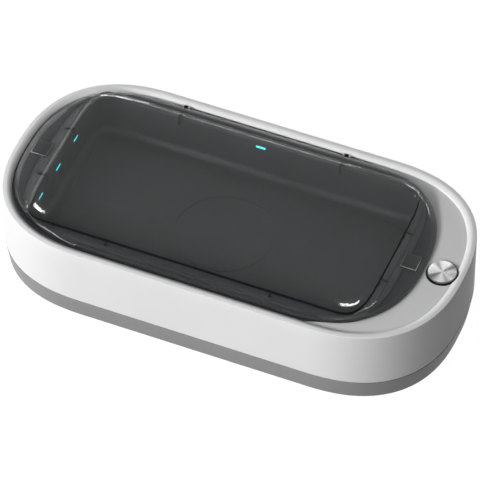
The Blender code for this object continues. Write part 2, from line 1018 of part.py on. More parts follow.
def make_lid_parts(origin):
    """The lid with its seal and magnets, all on the hinge axis."""
    parts = [make_lid_cover(origin)]
    outer = inset(lid_outline(), seal_inset)
    inner = inset(lid_outline(), seal_inset + seal_width)
    top = lid_bottom + seal_rebate - slide_gap
    rings = [
        level(outer, top - seal_thickness),
        level(outer, top),
        level(inner, top),
        level(inner, top - seal_thickness),
    ]
    parts.append(paint(piece("lid_seal", [skin(rings, closed=True)], origin), (0.02, 0.02, 0.02), 0.6))
    for side in ("left", "right"):
        magnet = piece("lid_magnet_" + side, [magnet_box(side, 0)], origin)
        parts.append(paint(magnet, (0.09, 0.09, 0.09), 0.35, metallic=0.8))
    return parts


def make_hinges():
    """Hinge brackets under the deck, whose ears hold the pins."""
    for side, place in hinge_places().items():
        high = deck_bottom - seat_gap
        plate = box(
            (place - bracket_length / 2, hinge_y + ear_radius - bracket_width / 2, high - bracket_thickness),
            (place + bracket_length / 2, hinge_y + ear_radius + bracket_width / 2 - ear_radius, high),
        )
        bracket = piece("hinge_bracket_" + side, [plate])
        top = circle(ear_radius, SMALL_STEPS)
        top = top[top[:, 1] >= -pin_gap] + (hinge_y, hinge_z)
        low = [(hinge_y - ear_radius, high - bracket_thickness / 2)]
        low.append((hinge_y + ear_radius, high - bracket_thickness / 2))
        ear = np.concatenate([top, low])
        inner = knuckle_width / 2 + slide_gap
        ears = [
            along_x(ear, place - inner - ear_width, place - inner),
            along_x(ear, place + inner, place + inner + ear_width),
        ]
        join(bracket, "hinge_ears_" + side, ears)
        bore = circle(pin_radius + pin_gap, SMALL_STEPS) + (hinge_y, hinge_z)
        reach = inner + ear_width + overrun
        cut(bracket, "ear_holes_" + side, [along_x(bore, place - reach, place + reach)])
        paint(bracket, (0.12, 0.12, 0.12), 0.4, metallic=0.6)
        shaft = circle(pin_radius, SMALL_STEPS) + (hinge_y, hinge_z)
        half = inner + ear_width
        pin = piece("hinge_pin_" + side, [along_x(shaft, place - half, place + half)])
        paint(pin, (0.6, 0.6, 0.6), 0.25, metallic=1.0)


def make_latch_plates():
    """Steel plates under the deck that the lid's magnets hold to, and the
    sensor that tells when the lid is shut."""
    high = deck_bottom - seat_gap
    for side in ("left", "right"):
        middle = magnet_middle(side)
        plate = box(
            (middle - latch_length / 2, -latch_width / 2, high - latch_thickness),
            (middle + latch_length / 2, latch_width / 2, high),
        )
        paint(piece("latch_plate_" + side, [plate]), (0.5, 0.5, 0.5), 0.35, metallic=1.0)
    middle = magnet_middle("right")
    start = latch_width / 2 + seat_gap
    sensor = box(
        (middle - sensor_length / 2, start, high - sensor_thickness),
        (middle + sensor_length / 2, start + sensor_width, high),
    )
    paint(piece("lid_sensor", [sensor]), (0.03, 0.03, 0.03), 0.5)


def make_button(origin):
    """Round metal button with its stem, and the switch plunger that it moves."""
    top = deck_top + button_proud
    profile = [
        (stem_radius, stem_bottom()),
        (stem_radius, top - button_thickness),
        (button_radius, top - button_thickness),
        (button_radius, top - button_chamfer),
        (button_radius - button_chamfer, top),
    ]
    cap = piece("button_cap", [turned(profile, (button_x, 0), ROUND_STEPS)], origin)
    paint(cap, (0.75, 0.75, 0.75), 0.25, metallic=1.0)
    high = stem_bottom() - seat_gap
    low = high - plunger_proud - plunger_sunk
    profile = [(plunger_radius, low), (plunger_radius, high)]
    plunger = piece("switch_plunger", [turned(profile, (button_x, 0), SMALL_STEPS)], origin)
    paint(plunger, (0.1, 0.1, 0.1), 0.4)
    return [cap, plunger]


def make_button_mounting():
    """Bezel round the button, and the switch and board under it."""
    inner = button_radius + bezel_gap
    outer = inner + bezel_wall
    low = deck_top - bezel_depth
    high = deck_top + bezel_proud
    profile = [(inner, low), (outer, low), (outer, high), (inner, high)]
    bezel = piece("button_bezel", [turned(profile, (button_x, 0), ROUND_STEPS, closed=True)])
    paint(bezel, (0.03, 0.03, 0.03), 0.3)
    low = switch_bottom()
    half = switch_size / 2
    switch = piece(
        "switch_body",
        [box((button_x - half, -half, low), (button_x + half, half, low + switch_height))],
    )
    hollow = plunger_radius + seat_gap
    depth = plunger_sunk + button_travel + seat_gap
    profile = [(hollow, low + switch_height - depth), (hollow, low + switch_height + overrun)]
    cut(switch, "switch_hole", [turned(profile, (button_x, 0), SMALL_STEPS)])
    paint(switch, (0.06, 0.06, 0.06), 0.5)
    top = low - seat_gap
    reach = button_post_y() + button_post_radius + button_board_margin
    board = box(
        (button_x - button_board_length / 2, -reach, top - button_board_thickness),
        (button_x + button_board_length / 2, reach, top),
    )
    paint(piece("button_board", [board]), (0.02, 0.15, 0.06), 0.4)


def make_coil_stack():
    """Charging coil, ferrite sheet and the holder that clips them under the
    cavity's floor."""
    coil_top = floor_bottom - seat_gap
    coil_bottom = coil_top - coil_thickness
    profile = [
        (coil_inner_radius, coil_bottom),
        (coil_outer_radius, coil_bottom),
        (coil_outer_radius, coil_top),
        (coil_inner_radius, coil_top),
    ]
    coil = piece(
        "charging_coil", [turned(profile, (cavity_centre, 0), 2 * SMALL_STEPS, closed=True)]
    )
    paint(coil, (0.72, 0.36, 0.18), 0.35, metallic=1.0)
    high = coil_bottom - seat_gap
    half = ferrite_size / 2
    low = high - ferrite_thickness
    sheet = box((cavity_centre - half, -half, low), (cavity_centre + half, half, high))
    paint(piece("ferrite_sheet", [sheet]), (0.08, 0.08, 0.08), 0.6)
    high = low - seat_gap
    half = holder_size / 2
    plate = box(
        (cavity_centre - half, -half, high - holder_thickness), (cavity_centre + half, half, high)
    )
    holder = piece("coil_holder", [plate])
    reach = half - holder_leg_margin
    legs = []
    for x in (-reach, reach):
        for y in (-reach, reach):
            profile = [
                (holder_leg_radius, high - holder_thickness / 2),
                (holder_leg_radius, floor_bottom - seat_gap),
            ]
            place = (cavity_centre + x, y)
            legs.append(turned(profile, place, SMALL_STEPS))
    join(holder, "holder_legs", legs)
    paint(holder, (0.3, 0.3, 0.3), 0.5)


def chip(shares, length, width, height):
    """Skin of a component on the main board, placed by shares of the board."""
    x = board_left + shares[0] * (board_right - board_left)
    y = board_front + shares[1] * (board_back - board_front)
    return box(
        (x - length / 2, y - width / 2, board_top - board_thickness / 2),
        (x + length / 2, y + width / 2, board_top + height),
    )


def make_main_board():
    """Main board with its larger components and four fixing holes."""
    board = piece(
        "main_board",
        [box((board_left, board_front, board_bottom), (board_right, board_back, board_top))],
    )
    chips = [
        chip(CHIP_SHARES, chip_size, chip_size, chip_height),
        chip(INDUCTOR_SHARES, inductor_size, inductor_size, inductor_height),
        chip(REGULATOR_SHARES, regulator_length, regulator_width, regulator_height),
    ]
    join(board, "board_components", chips)
    holes = []
    for place in standoff_places():
        profile = [
            (screw_hole_radius, board_bottom - overrun),
            (screw_hole_radius, board_top + overrun),
        ]
        holes.append(turned(profile, place, SMALL_STEPS))
    cut(board, "board_holes", holes)
    paint(board, (0.02, 0.16, 0.07), 0.4)


def make_socket():
    """Charging socket: a stadium shell round a thin contact blade."""
    back = box_width / 2 - socket_recess
    front = back - socket_depth
    floor = back - socket_bore_depth
    rings = [
        socket_ring(0, front),
        socket_ring(0, back),
        socket_ring(-socket_wall, back),
        socket_ring(-socket_wall, floor),
    ]
    socket = piece("usb_c_port", [skin(rings)])
    middle = socket_level()
    blade = box(
        (socket_x - blade_width / 2, floor - socket_wall, middle - blade_thickness / 2),
        (socket_x + blade_width / 2, back - socket_recess, middle + blade_thickness / 2),
    )
    join(socket, "socket_blade", [blade])
    paint(socket, (0.6, 0.6, 0.62), 0.3, metallic=1.0)


def cross_skin(place, face, inwards):
    """Skin of a cross recess in a screw head, cut inwards from its face."""
    arm = cross_length / 2
    half = cross_width / 2
    corners = np.array([(arm, -half), (arm, half), (half, half), (half, arm)])
    quarter = np.array([(0, -1), (1, 0)])
    rows = [corners]
    for _ in range(3):
        rows.append(rows[-1] @ quarter.T)
    plan = np.concatenate([row[:3] for row in rows]) + place
    return skin([level(plan, face - inwards * overrun), level(plan, face + inwards * cross_depth)])


def make_screw(name, place, seat, upwards, length):
    """Screw with a low round head.  Seat is the head's face against the work,
    and upwards is 1 when the shank points up."""
    face = seat - upwards * screw_head_height
    profile = [
        (screw_head_radius, face),
        (screw_head_radius, seat),
        (screw_radius, seat),
        (screw_radius, seat + upwards * length),
    ]
    screw = piece(name, [turned(profile, place, SMALL_STEPS)])
    cut(screw, "cross_" + name, [cross_skin(place, face, upwards)])
    paint(screw, (0.5, 0.5, 0.5), 0.3, metallic=1.0)


def make_screws():
    """Four case screws from below and four board screws from above."""
    seat = underside + case_screw_well - seat_gap
    for number, place in enumerate(post_places(), start=1):
        make_screw("case_screw_" + str(number), place, seat, 1, case_screw_length)
    seat = board_top + seat_gap
    for number, place in enumerate(standoff_places(), start=1):
        make_screw("board_screw_" + str(number), place, seat, -1, board_screw_length)


def make_feet():
    """Four rubber feet in their pockets."""
    number = 0
    for x in (-foot_x, foot_x):
        for y in (-foot_y, foot_y):
            number += 1
            profile = [
                (foot_radius - foot_chamfer, 0),
                (foot_radius, foot_chamfer),
                (foot_radius, underside + foot_pocket - seat_gap),
            ]
            foot = piece("foot_" + str(number), [turned(profile, (x, y), ROUND_STEPS)])
            paint(foot, (0.03, 0.03, 0.03), 0.8)


def carry(name, origin, parts):
    """Parents the parts to an empty at a joint's place."""
    axis = bpy.data.objects.new(name, None)
    axis.location = origin
    bpy.context.collection.objects.link(axis)
    for part in parts:
        part.parent = axis
        part.location = (0, 0, 0)


def clear_scene():
    """Removes whatever the scene holds."""
    for made in list(bpy.data.objects):
        bpy.data.objects.remove(made)


def main():
    """Builds the whole box."""
    clear_scene()
    make_outer_shell()
    make_lower_housing()
    make_deck_plate()
    make_tray_liner()
    make_charging_pad()
    make_lamps()
    make_hinges()
    make_latch_plates()
    make_button_mounting()
    make_coil_stack()
    make_main_board()
    make_socket()
    make_screws()
    make_feet()
    hinge_origin = (cavity_centre, hinge_y, hinge_z)
    carry("lid_axis", hinge_origin, make_lid_parts(hinge_origin))
    button_origin = (button_x, 0, deck_top)
    carry("button_axis", button_origin, make_button(button_origin))


main()
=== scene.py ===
"""Looks of the phone sanitiser box: its finished surfaces, materials, light and camera.

Laid out as an add-on.  Each group of like pieces has its own operator, and the
panel in the 3D view's sidebar lists them.  Sizes are in metres.
"""

import math

import bmesh
import bpy
import numpy as np
from bpy.props import FloatProperty, FloatVectorProperty, IntProperty, PointerProperty
from mathutils import Matrix, Quaternion, Vector


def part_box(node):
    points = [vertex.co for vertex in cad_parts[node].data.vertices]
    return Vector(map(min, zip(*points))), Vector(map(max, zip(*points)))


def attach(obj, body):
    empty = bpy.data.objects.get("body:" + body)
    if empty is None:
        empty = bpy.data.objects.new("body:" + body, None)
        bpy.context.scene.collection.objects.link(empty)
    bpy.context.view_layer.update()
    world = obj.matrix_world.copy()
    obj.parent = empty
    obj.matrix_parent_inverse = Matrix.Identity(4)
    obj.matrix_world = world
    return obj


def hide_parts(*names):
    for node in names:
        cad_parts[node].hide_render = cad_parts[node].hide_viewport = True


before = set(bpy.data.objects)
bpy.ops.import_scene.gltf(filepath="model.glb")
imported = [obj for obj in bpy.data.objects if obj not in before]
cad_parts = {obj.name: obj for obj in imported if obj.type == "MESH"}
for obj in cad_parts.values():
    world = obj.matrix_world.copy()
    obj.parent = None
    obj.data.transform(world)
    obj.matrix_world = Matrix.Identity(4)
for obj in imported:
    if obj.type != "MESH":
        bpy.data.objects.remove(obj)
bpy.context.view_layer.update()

bl_info = {
    "name": "Phone sanitiser box",
    "version": (1, 0, 0),
    "blender": (4, 5, 0),
    "location": "3D View > Sidebar > Sanitiser",
    "description": "Finished surfaces and materials of a phone sanitiser box",
    "category": "Object",
}

# Gap between pieces that fit together, and how far a cut runs past a face.
seat_gap = 0.0003
overrun = 0.0010


def length(name, default, description):
    """A size property in metres."""
    return FloatProperty(
        name=name, default=default, description=description, min=0, precision=5, unit="LENGTH"
    )


def shade(name, default, description):
    """A colour property."""
    return FloatVectorProperty(
        name=name, default=default, description=description, min=0, max=1, size=3, subtype="COLOR"
    )


def factor(name, default, description):
    """A plain number property between 0 and 1."""
    return FloatProperty(
        name=name, default=default, description=description, min=0, max=1, subtype="FACTOR"
    )


def plain(name, default, description):
    """A plain number property."""
    return FloatProperty(name=name, default=default, description=description, precision=4)


class CaseSizes(bpy.types.PropertyGroup):
    """Outline and section of the wall, the base and the deck."""

    steps: IntProperty(name="Steps", default=64, description="Points in a quarter of an outline")
    end: length("End", 0.0508, "Length of an oval end")
    power: plain("Power", 2.45, "Superellipse power of an oval end")
    wall: length("Wall", 0.0022, "Thickness of the white wall")
    rim_drop: length("Rim drop", 0.0004, "How far the rim's rounded edge comes down the wall")
    rim_round: length("Rim round", 0.0003, "How far the rim's rounded edge reaches in")
    rim_fall: length("Rim fall", 0.00015, "How far the rim falls outwards to that edge")
    rim_slope: length("Rim slope", 0.0012, "Width over which it falls")
    rim_band: length("Rim band", 0.0018, "Width of the rim up to its bevel")
    lip_reach: length("Lip reach", 0.0040, "How far the lip reaches in over the deck")
    lip_edge: length("Lip edge", 0.0002, "Height of the lip's inner edge")
    lip_bend: length("Lip bend", 0.0007, "Where the lip's slope bends, back from its edge")
    lip_fall: length("Lip fall", 0.0003, "How far the lip has fallen at the bend")
    seam_round: length("Seam round", 0.0003, "Radius of the edges at the seam")
    base_taper: length("Base taper", 0.0013, "How far the base draws in at its foot")
    base_chamfer: length("Base chamfer", 0.0005, "Chamfer round the base's foot")
    tongue_wall: length("Tongue wall", 0.0013, "Thickness of the base's tongue")
    base_floor: length("Base floor", 0.0022, "Thickness of the base's floor")
    band_inset: length("Band inset", 0.0003, "How far the deck's dark band stays inside the lid")
    # Where the dark band runs out at the front and the left end, it is painted shadow of the rim.
    rim_shadow_spread: length("Band spread", 0.0015, "How far it runs out at the front and the left end")
    band_edge: length("Band edge", 0.00005, "Width over which the dark band fades out")
    foot_pocket: length("Foot pocket", 0.0010, "Depth of a foot's pocket")
    screw_well: length("Screw well", 0.0024, "Radius of a case screw's well")
    screw_well_depth: length("Screw well depth", 0.0030, "Depth of a case screw's well")


class CavitySizes(bpy.types.PropertyGroup):
    """The cavity's walls, floor and rim, the pad and the lamp windows."""

    pad_margin: length("Pad margin", 0.0056, "Gap between the pad and the cavity's walls")
    end: length("End", 0.0160, "Length of the cavity's rounded ends")
    power: plain("Power", 5.0, "Superellipse power of the cavity's ends")
    wall: length("Wall", 0.0014, "Thickness of the cavity's walls")
    floor: length("Floor", 0.0016, "Thickness of the cavity's floor")
    fillet: length("Fillet", 0.0030, "Radius between the walls and the floor")
    rim_reach: length("Rim reach", 0.0022, "How far the rim lies over the deck")
    rim_thickness: length("Rim thickness", 0.0005, "Thickness of the rim")
    rim_round: length("Rim round", 0.0002, "Radius of the rim's edges")
    slit_length: length("Slit length", 0.0046, "Length of a lamp slit")
    slit_height: length("Slit height", 0.0016, "Height of a lamp slit")
    pad_end: length("Pad end", 0.0130, "Length of the pad's rounded ends")
    pad_chamfer: length("Pad chamfer", 0.0003, "Chamfer round the pad's top")
    ring_radius: length("Ring radius", 0.0210, "Radius of the pad's ring groove")
    ring_width: length("Ring width", 0.0012, "Width of the pad's ring groove")
    ring_depth: length("Ring depth", 0.0003, "Depth of the pad's ring groove")


class LidSizes(bpy.types.PropertyGroup):
    """Outline and section of the lid."""

    steps: IntProperty(name="Steps", default=64, description="Points in a quarter of an outline")
    left_end: length("Left end", 0.0506, "Length of the oval end away from the button")
    left_power: plain("Left power", 2.53, "Superellipse power of that end")
    right_end: length("Right end", 0.0430, "Length of the oval end at the button")
    right_power: plain("Right power", 2.39, "Superellipse power of that end")
    edge_height: length("Edge height", 0.0007, "Height of the lid's upright edge")
    edge_chamfer: length("Edge chamfer", 0.0001, "Chamfer under the lid's edge")
    edge_round: length("Edge round", 0.0004, "Radius at the top of the lid's edge")
    round_share: factor("Round share", 0.07, "Share of the skirt taken by that round edge")
    skirt_rise: length("Skirt rise", 0.0021, "How far the skirt rises to the step")
    skirt_power: plain("Skirt power", 2.4, "How fast the skirt flattens")
    step_offset: length("Step offset", 0.0002, "How far the step lies outside the cavity")
    step_draft: length("Step draft", 0.00015, "How far the step leans in")
    step_rise: length("Step rise", 0.0007, "Height of the step")
    crown_rise: length("Crown rise", 0.0014, "How far the panel rises from the step")
    crown_reach: length("Crown reach", 0.0160, "Width of the panel's curved border")
    crown_power: plain("Crown power", 2.4, "How square the panel's border is")
    corner_keep: factor("Corner keep", 0.40, "How fast the panel's corners tighten inwards")
    # The dark line at the step is painted shade.
    line_reach: length("Line reach", 0.0002, "How far the dark line laps over the panel's edge")
    panel_thickness: length("Panel thickness", 0.0016, "Thickness of the panel")
    skirt_thickness: length("Skirt thickness", 0.0014, "Thickness of the skirt at the step")
    shoulder_rise: length("Shoulder rise", 0.0007, "Foot of the slope under the skirt")
    seal_rebate: length("Seal rebate", 0.0005, "Depth of the seal's rebate")
    slide_gap: length("Slide gap", 0.0002, "Clearance beside the seal and the hinge ears")
    pin_gap: length("Pin gap", 0.0001, "Clearance round a hinge pin")
    rib_clearance: length("Rib clearance", 0.0004, "Gap between a rib's tab and the wall")
    rib_thickness: length("Rib thickness", 0.0010, "Thickness of a rib's tab")
    rib_width: length("Rib width", 0.0009, "Width of a rib")
    rib_depth: length("Rib depth", 0.0026, "How far a tab hangs below the lid")
    rib_reach: length("Rib reach", 0.0030, "How far a rib's web runs out")
    rib_root: length("Rib root", 0.0012, "Height of a web")
    rib_web: length("Rib web", 0.0010, "Foot of a web over the lid's underside")
    rib_end_spread: length("Rib end spread", 0.0140, "Place of the ribs at the ends")
    notch_depth: length("Notch depth", 0.0013, "Depth of a hinge notch")
    knuckle_width: length("Knuckle width", 0.0016, "Width of a hinge knuckle")
    lug_root: length("Lug root", 0.0010, "How far a lug runs into the lid")
    # The bright bevel is a painted highlight.
    magnet_edge: length("Magnet edge", 0.0002, "Bright bevel round a magnet")
    lug_height: length("Lug height", 0.00075, "Height of a lug")


class ButtonSizes(bpy.types.PropertyGroup):
    """The button's face."""

    steps: IntProperty(name="Steps", default=128, description="Points round the button")
    chamfer: length("Chamfer", 0.0003, "Chamfer round the button's face")
    dish: length("Dish", 0.00012, "How far the face dips to its middle")
    bezel_gap: length("Bezel gap", 0.00015, "Gap between the button and its ring")


class Finishes(bpy.types.PropertyGroup):
    """Colours of the finishes."""

    white: shade("White wall", (0.86, 0.86, 0.86), "White wall")
    base: shade("Grey base", (0.27, 0.27, 0.27), "Grey base")
    deck: shade("Grey deck", (0.71, 0.71, 0.715), "Deck round the lid")
    liner: shade("Cavity", (0.050, 0.051, 0.053), "Cavity")
    pad: shade("Pad", (0.030, 0.031, 0.033), "Pad under the phone")
    smoke: shade("Lid", (0.40, 0.41, 0.42), "Tint of the clear lid")
    glow: shade("Lamp glow", (0.03, 0.80, 0.90), "Glow of the lamps in their slits")
    metal: shade("Button", (1.0, 1.0, 1.0), "Spun metal")


class StageSettings(bpy.types.PropertyGroup):
    """Camera, lamps and ground."""

    yaw: plain("Yaw", 22.68, "Camera's turn about the upright axis, in degrees")
    pitch: plain("Pitch", 47.91, "Camera's height above the horizon, in degrees")
    distance: length("Distance", 1.94928, "Camera's distance")
    aim_right: length("Aim right", 0.00059, "View's middle, right of the box's middle")
    aim_up: length("Aim up", 0.01212, "View's middle, above the box's middle")
    lens: plain("Lens", 348.0, "Focal length in millimetres on a 36 mm sensor")
    ambient: plain("Ambient", 0.03, "Level light from all sides")
    ceiling: plain("Ceiling", 0.26, "Brightness of the ceiling in reflections")


def sizes(group):
    """One group of this add-on's properties."""
    return getattr(bpy.context.scene.sanitiser, group)


def tint(name):
    """The colour of one of the finishes."""
    return tuple(getattr(sizes("finish"), name))


class SanitiserProps(bpy.types.PropertyGroup):
    """All properties of the add-on."""

    case: PointerProperty(type=CaseSizes)
    cavity: PointerProperty(type=CavitySizes)
    lid: PointerProperty(type=LidSizes)
    button: PointerProperty(type=ButtonSizes)
    finish: PointerProperty(type=Finishes)
    stage: PointerProperty(type=StageSettings)


def superellipse(left, right, side, left_curve, right_curve, steps):
    """Plan outline, anticlockwise.  An end's curve is its length and power:
    x = length * cos^(2/power), y = side * sin^(2/power) of a turn from -90 to
    90 degrees.  Straight lines join the ends.  The turn is finer where the
    power stretches its steps."""
    finer = 0.6
    share = np.linspace(0, 1, 2 * steps + 1)
    turn = np.pi * (share - finer * np.sin(4 * np.pi * share) / (4 * np.pi) - 0.5)
    across, beside = np.abs(np.cos(turn)), np.sin(turn)
    ends = []
    for tip, sign, (end, power) in ((right, 1, right_curve), (left, -1, left_curve)):
        x = tip - sign * end + sign * end * across ** (2 / power)
        y = sign * side * np.sign(beside) * np.abs(beside) ** (2 / power)
        ends.append(np.column_stack([x, y]))
    return np.concatenate(ends)


def inset(points, distance):
    """The outline moved inwards by one distance, each point along the mean of
    its two edges' normals."""
    ahead = np.roll(points, -1, axis=0) - points
    behind = points - np.roll(points, 1, axis=0)
    ahead /= np.linalg.norm(ahead, axis=1, keepdims=True)
    behind /= np.linalg.norm(behind, axis=1, keepdims=True)
    tangent = ahead + behind
    tangent /= np.linalg.norm(tangent, axis=1, keepdims=True)
    inward = np.column_stack([-tangent[:, 1], tangent[:, 0]])
    spread = np.sum(tangent * ahead, axis=1, keepdims=True)
    return points + inward * distance / spread


def circle(radius, steps, centre=(0, 0)):
    """Points of a circle, anticlockwise."""
    turn = np.arange(steps) * 2 * np.pi / steps
    return radius * np.column_stack([np.cos(turn), np.sin(turn)]) + centre


def level(points, height):
    """A plan outline at a height."""
    return np.column_stack([points, np.full(len(points), height)])


def rounded(start, corner, end, steps=5):
    """Points of a curve from start to end that is drawn towards a corner: the
    quadratic curve (1-t)^2 start + 2t(1-t) corner + t^2 end."""
    t = np.linspace(0, 1, steps)[:, None]
    start, corner, end = (np.array(p, float) for p in (start, corner, end))
    return (1 - t) ** 2 * start + 2 * t * (1 - t) * corner + t**2 * end


def skin(rings, wrap=False):
    """Vertices and faces of a closed surface over a grid of rings: quads from
    ring to ring, with the end rings capped, or joined when wrap is set."""
    grid = np.array(rings)
    rows, count = grid.shape[:2]
    index = np.arange(rows * count).reshape(rows, count)
    low = index if wrap else index[:-1]
    high = np.roll(index, -1, axis=0) if wrap else index[1:]
    quads = np.stack([low, np.roll(low, -1, axis=1), np.roll(high, -1, axis=1), high], axis=-1)
    caps = index[:0] if wrap else index[[0, -1]]
    return grid.reshape(-1, 3), (quads.reshape(-1, 4), caps)


def block(low, high):
    """Skin of a box between two corners."""
    plan = np.array([low[:2], (high[0], low[1]), high[:2], (low[0], high[1])])
    return skin([level(plan, low[2]), level(plan, high[2])])


def turned(profile, centre, steps, wrap=False):
    """Skin of a turned body: each (radius, height) is a circle round an
    upright axis."""
    rings = [level(circle(radius, steps, centre), height) for radius, height in profile]
    return skin(rings, wrap)


def drum(radius, low, high, centre, steps):
    """Skin of an upright cylinder between two heights."""
    return turned([(radius, low), (radius, high)], centre, steps)


def washer(inner, outer, low, high, centre, steps):
    """Skin of a round flat ring between two radii and two heights."""
    corners = [(inner, low), (outer, low), (outer, high), (inner, high)]
    return turned(corners, centre, steps, wrap=True)


def band_between(outer, inner, low, high):
    """Skin of a flat ring between two outlines and two heights."""
    rings = [level(outer, low), level(outer, high), level(inner, high), level(inner, low)]
    return skin(rings, wrap=True)


def drawn_out(axis, points, low, high):
    """Skin of an upright outline drawn out along X, axis 0, or Y, axis 1."""
    return skin([np.insert(points, axis, place, axis=1) for place in (low, high)])


def body(name, skins, materials=()):
    """One object from one or more closed skins, faces outwards."""
    offset = 0
    points = []
    faces = []
    for corners, groups in skins:
        points.append(corners)
        for group in groups:
            faces += (group + offset).tolist()
        offset += len(corners)
    mesh = bpy.data.meshes.new(name)
    mesh.from_pydata(np.concatenate(points).tolist(), [], faces)
    shape = bmesh.new()
    shape.from_mesh(mesh)
    bmesh.ops.recalc_face_normals(shape, faces=shape.faces)
    shape.to_mesh(mesh)
    shape.free()
    for material in materials:
        mesh.materials.append(material)
    made = bpy.data.objects.new(name, mesh)
    bpy.context.scene.collection.objects.link(made)
    return made


def finish_faces(piece, chosen):
    """Gives each face the piece's material of the chosen number."""
    piece.data.polygons.foreach_set("material_index", np.asarray(chosen, dtype=np.int32))


def from_middle(points, outline):
    """The outline's middle, each point's way from it, how long that is, and
    how far the outline reaches in the same direction."""
    middle = outline.mean(axis=0)
    edge, away = outline - middle, points - middle
    turn = np.arctan2(edge[:, 1], edge[:, 0])
    order = np.argsort(turn)
    reach = np.linalg.norm(edge, axis=1)[order]
    bearing = np.arctan2(away[:, 1], away[:, 0])
    limit = np.interp(bearing, turn[order], reach, period=2 * np.pi)
    return middle, away, np.linalg.norm(away, axis=1), limit


def within(points, outline):
    """Whether each point lies inside an outline, seen from its middle."""
    _, _, distance, limit = from_middle(points, outline)
    return distance <= limit


def kept_within(points, outline):
    """The points, with those outside an outline drawn back onto it towards the
    outline's middle."""
    middle, away, distance, limit = from_middle(points, outline)
    return middle + away * np.minimum(1.0, limit / distance)[:, None]


def mark(piece, name, values):
    """Stores one number for each vertex as an attribute."""
    layer = piece.data.attributes.new(name, "FLOAT", "POINT")
    layer.data.foreach_set("value", np.asarray(values, dtype=np.float32))


def vertices(piece):
    """The piece's vertices as an array."""
    points = np.empty(len(piece.data.vertices) * 3)
    piece.data.vertices.foreach_get("co", points)
    return points.reshape(-1, 3)


def shape_with(target, operation, skins, second=False):
    """Joins skins to the target or cuts them out of it, and keeps the result.
    What they add takes the target's second material when second is set."""
    helper = body("helper", skins, target.data.materials)
    if second:
        finish_faces(helper, np.ones(len(helper.data.polygons)))
    step = target.modifiers.new("shape", "BOOLEAN")
    step.operation = operation
    step.object = helper
    seen = target.evaluated_get(bpy.context.evaluated_depsgraph_get())
    mesh = bpy.data.meshes.new_from_object(seen)
    target.modifiers.clear()
    old = target.data
    target.data = mesh
    bpy.data.meshes.remove(old)
    bpy.data.objects.remove(helper)


def dress(piece, material, carrier, nodes=(), sharp=32.0):
    """Smooths a piece, paints it, and says what carries it, which finish it
    takes and which nodes it stands for."""
    if material:
        piece.data.materials.append(material)
    piece.data.shade_smooth()
    piece.data.set_sharp_from_angle(angle=math.radians(sharp))
    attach(piece, carrier)
    if nodes:
        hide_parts(*nodes)


def repaint(names, material):
    """Gives carried-over nodes a material."""
    for name in names:
        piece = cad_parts[name]
        piece.data.materials.clear()
        piece.data.materials.append(material)


def nodes_like(*starts):
    """Names of the nodes that begin with one of the given words."""
    return [name for name in sorted(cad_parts) if name.startswith(starts)]


def middle_of(name):
    """Middle of a node's box."""
    return [(a + b) / 2 for a, b in zip(*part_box(name))]


def half_width(name):
    """Half the width of a node's box."""
    low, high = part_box(name)
    return (high[0] - low[0]) / 2


class Graph:
    """A node tree, with short ways to add to it."""

    def __init__(self, tree):
        self.nodes = tree.nodes
        self.links = tree.links

    def fill(self, node, sockets):
        """Sets a node's sockets to plain values or links them to outputs."""
        for name, value in sockets.items():
            if isinstance(value, bpy.types.NodeSocket):
                self.links.new(value, node.inputs[name])
            else:
                node.inputs[name].default_value = value

    def add(self, kind, sockets=None, **values):
        """Adds a node, sets its attributes and fills its sockets."""
        node = self.nodes.new(kind)
        for name, value in values.items():
            setattr(node, name, value)
        self.fill(node, sockets or {})
        return node

    def math(self, operation, *terms):
        """A Math node's output for one to three numbers or outputs."""
        return self.add("ShaderNodeMath", dict(enumerate(terms)), operation=operation).outputs[0]

    def seen(self):
        """1 where a thing is seen: directly, in a reflection or through the lid."""
        path = self.add("ShaderNodeLightPath").outputs
        seen = self.math("MAXIMUM", path["Is Camera Ray"], path["Is Glossy Ray"])
        return self.math("MAXIMUM", seen, path["Is Transmission Ray"])


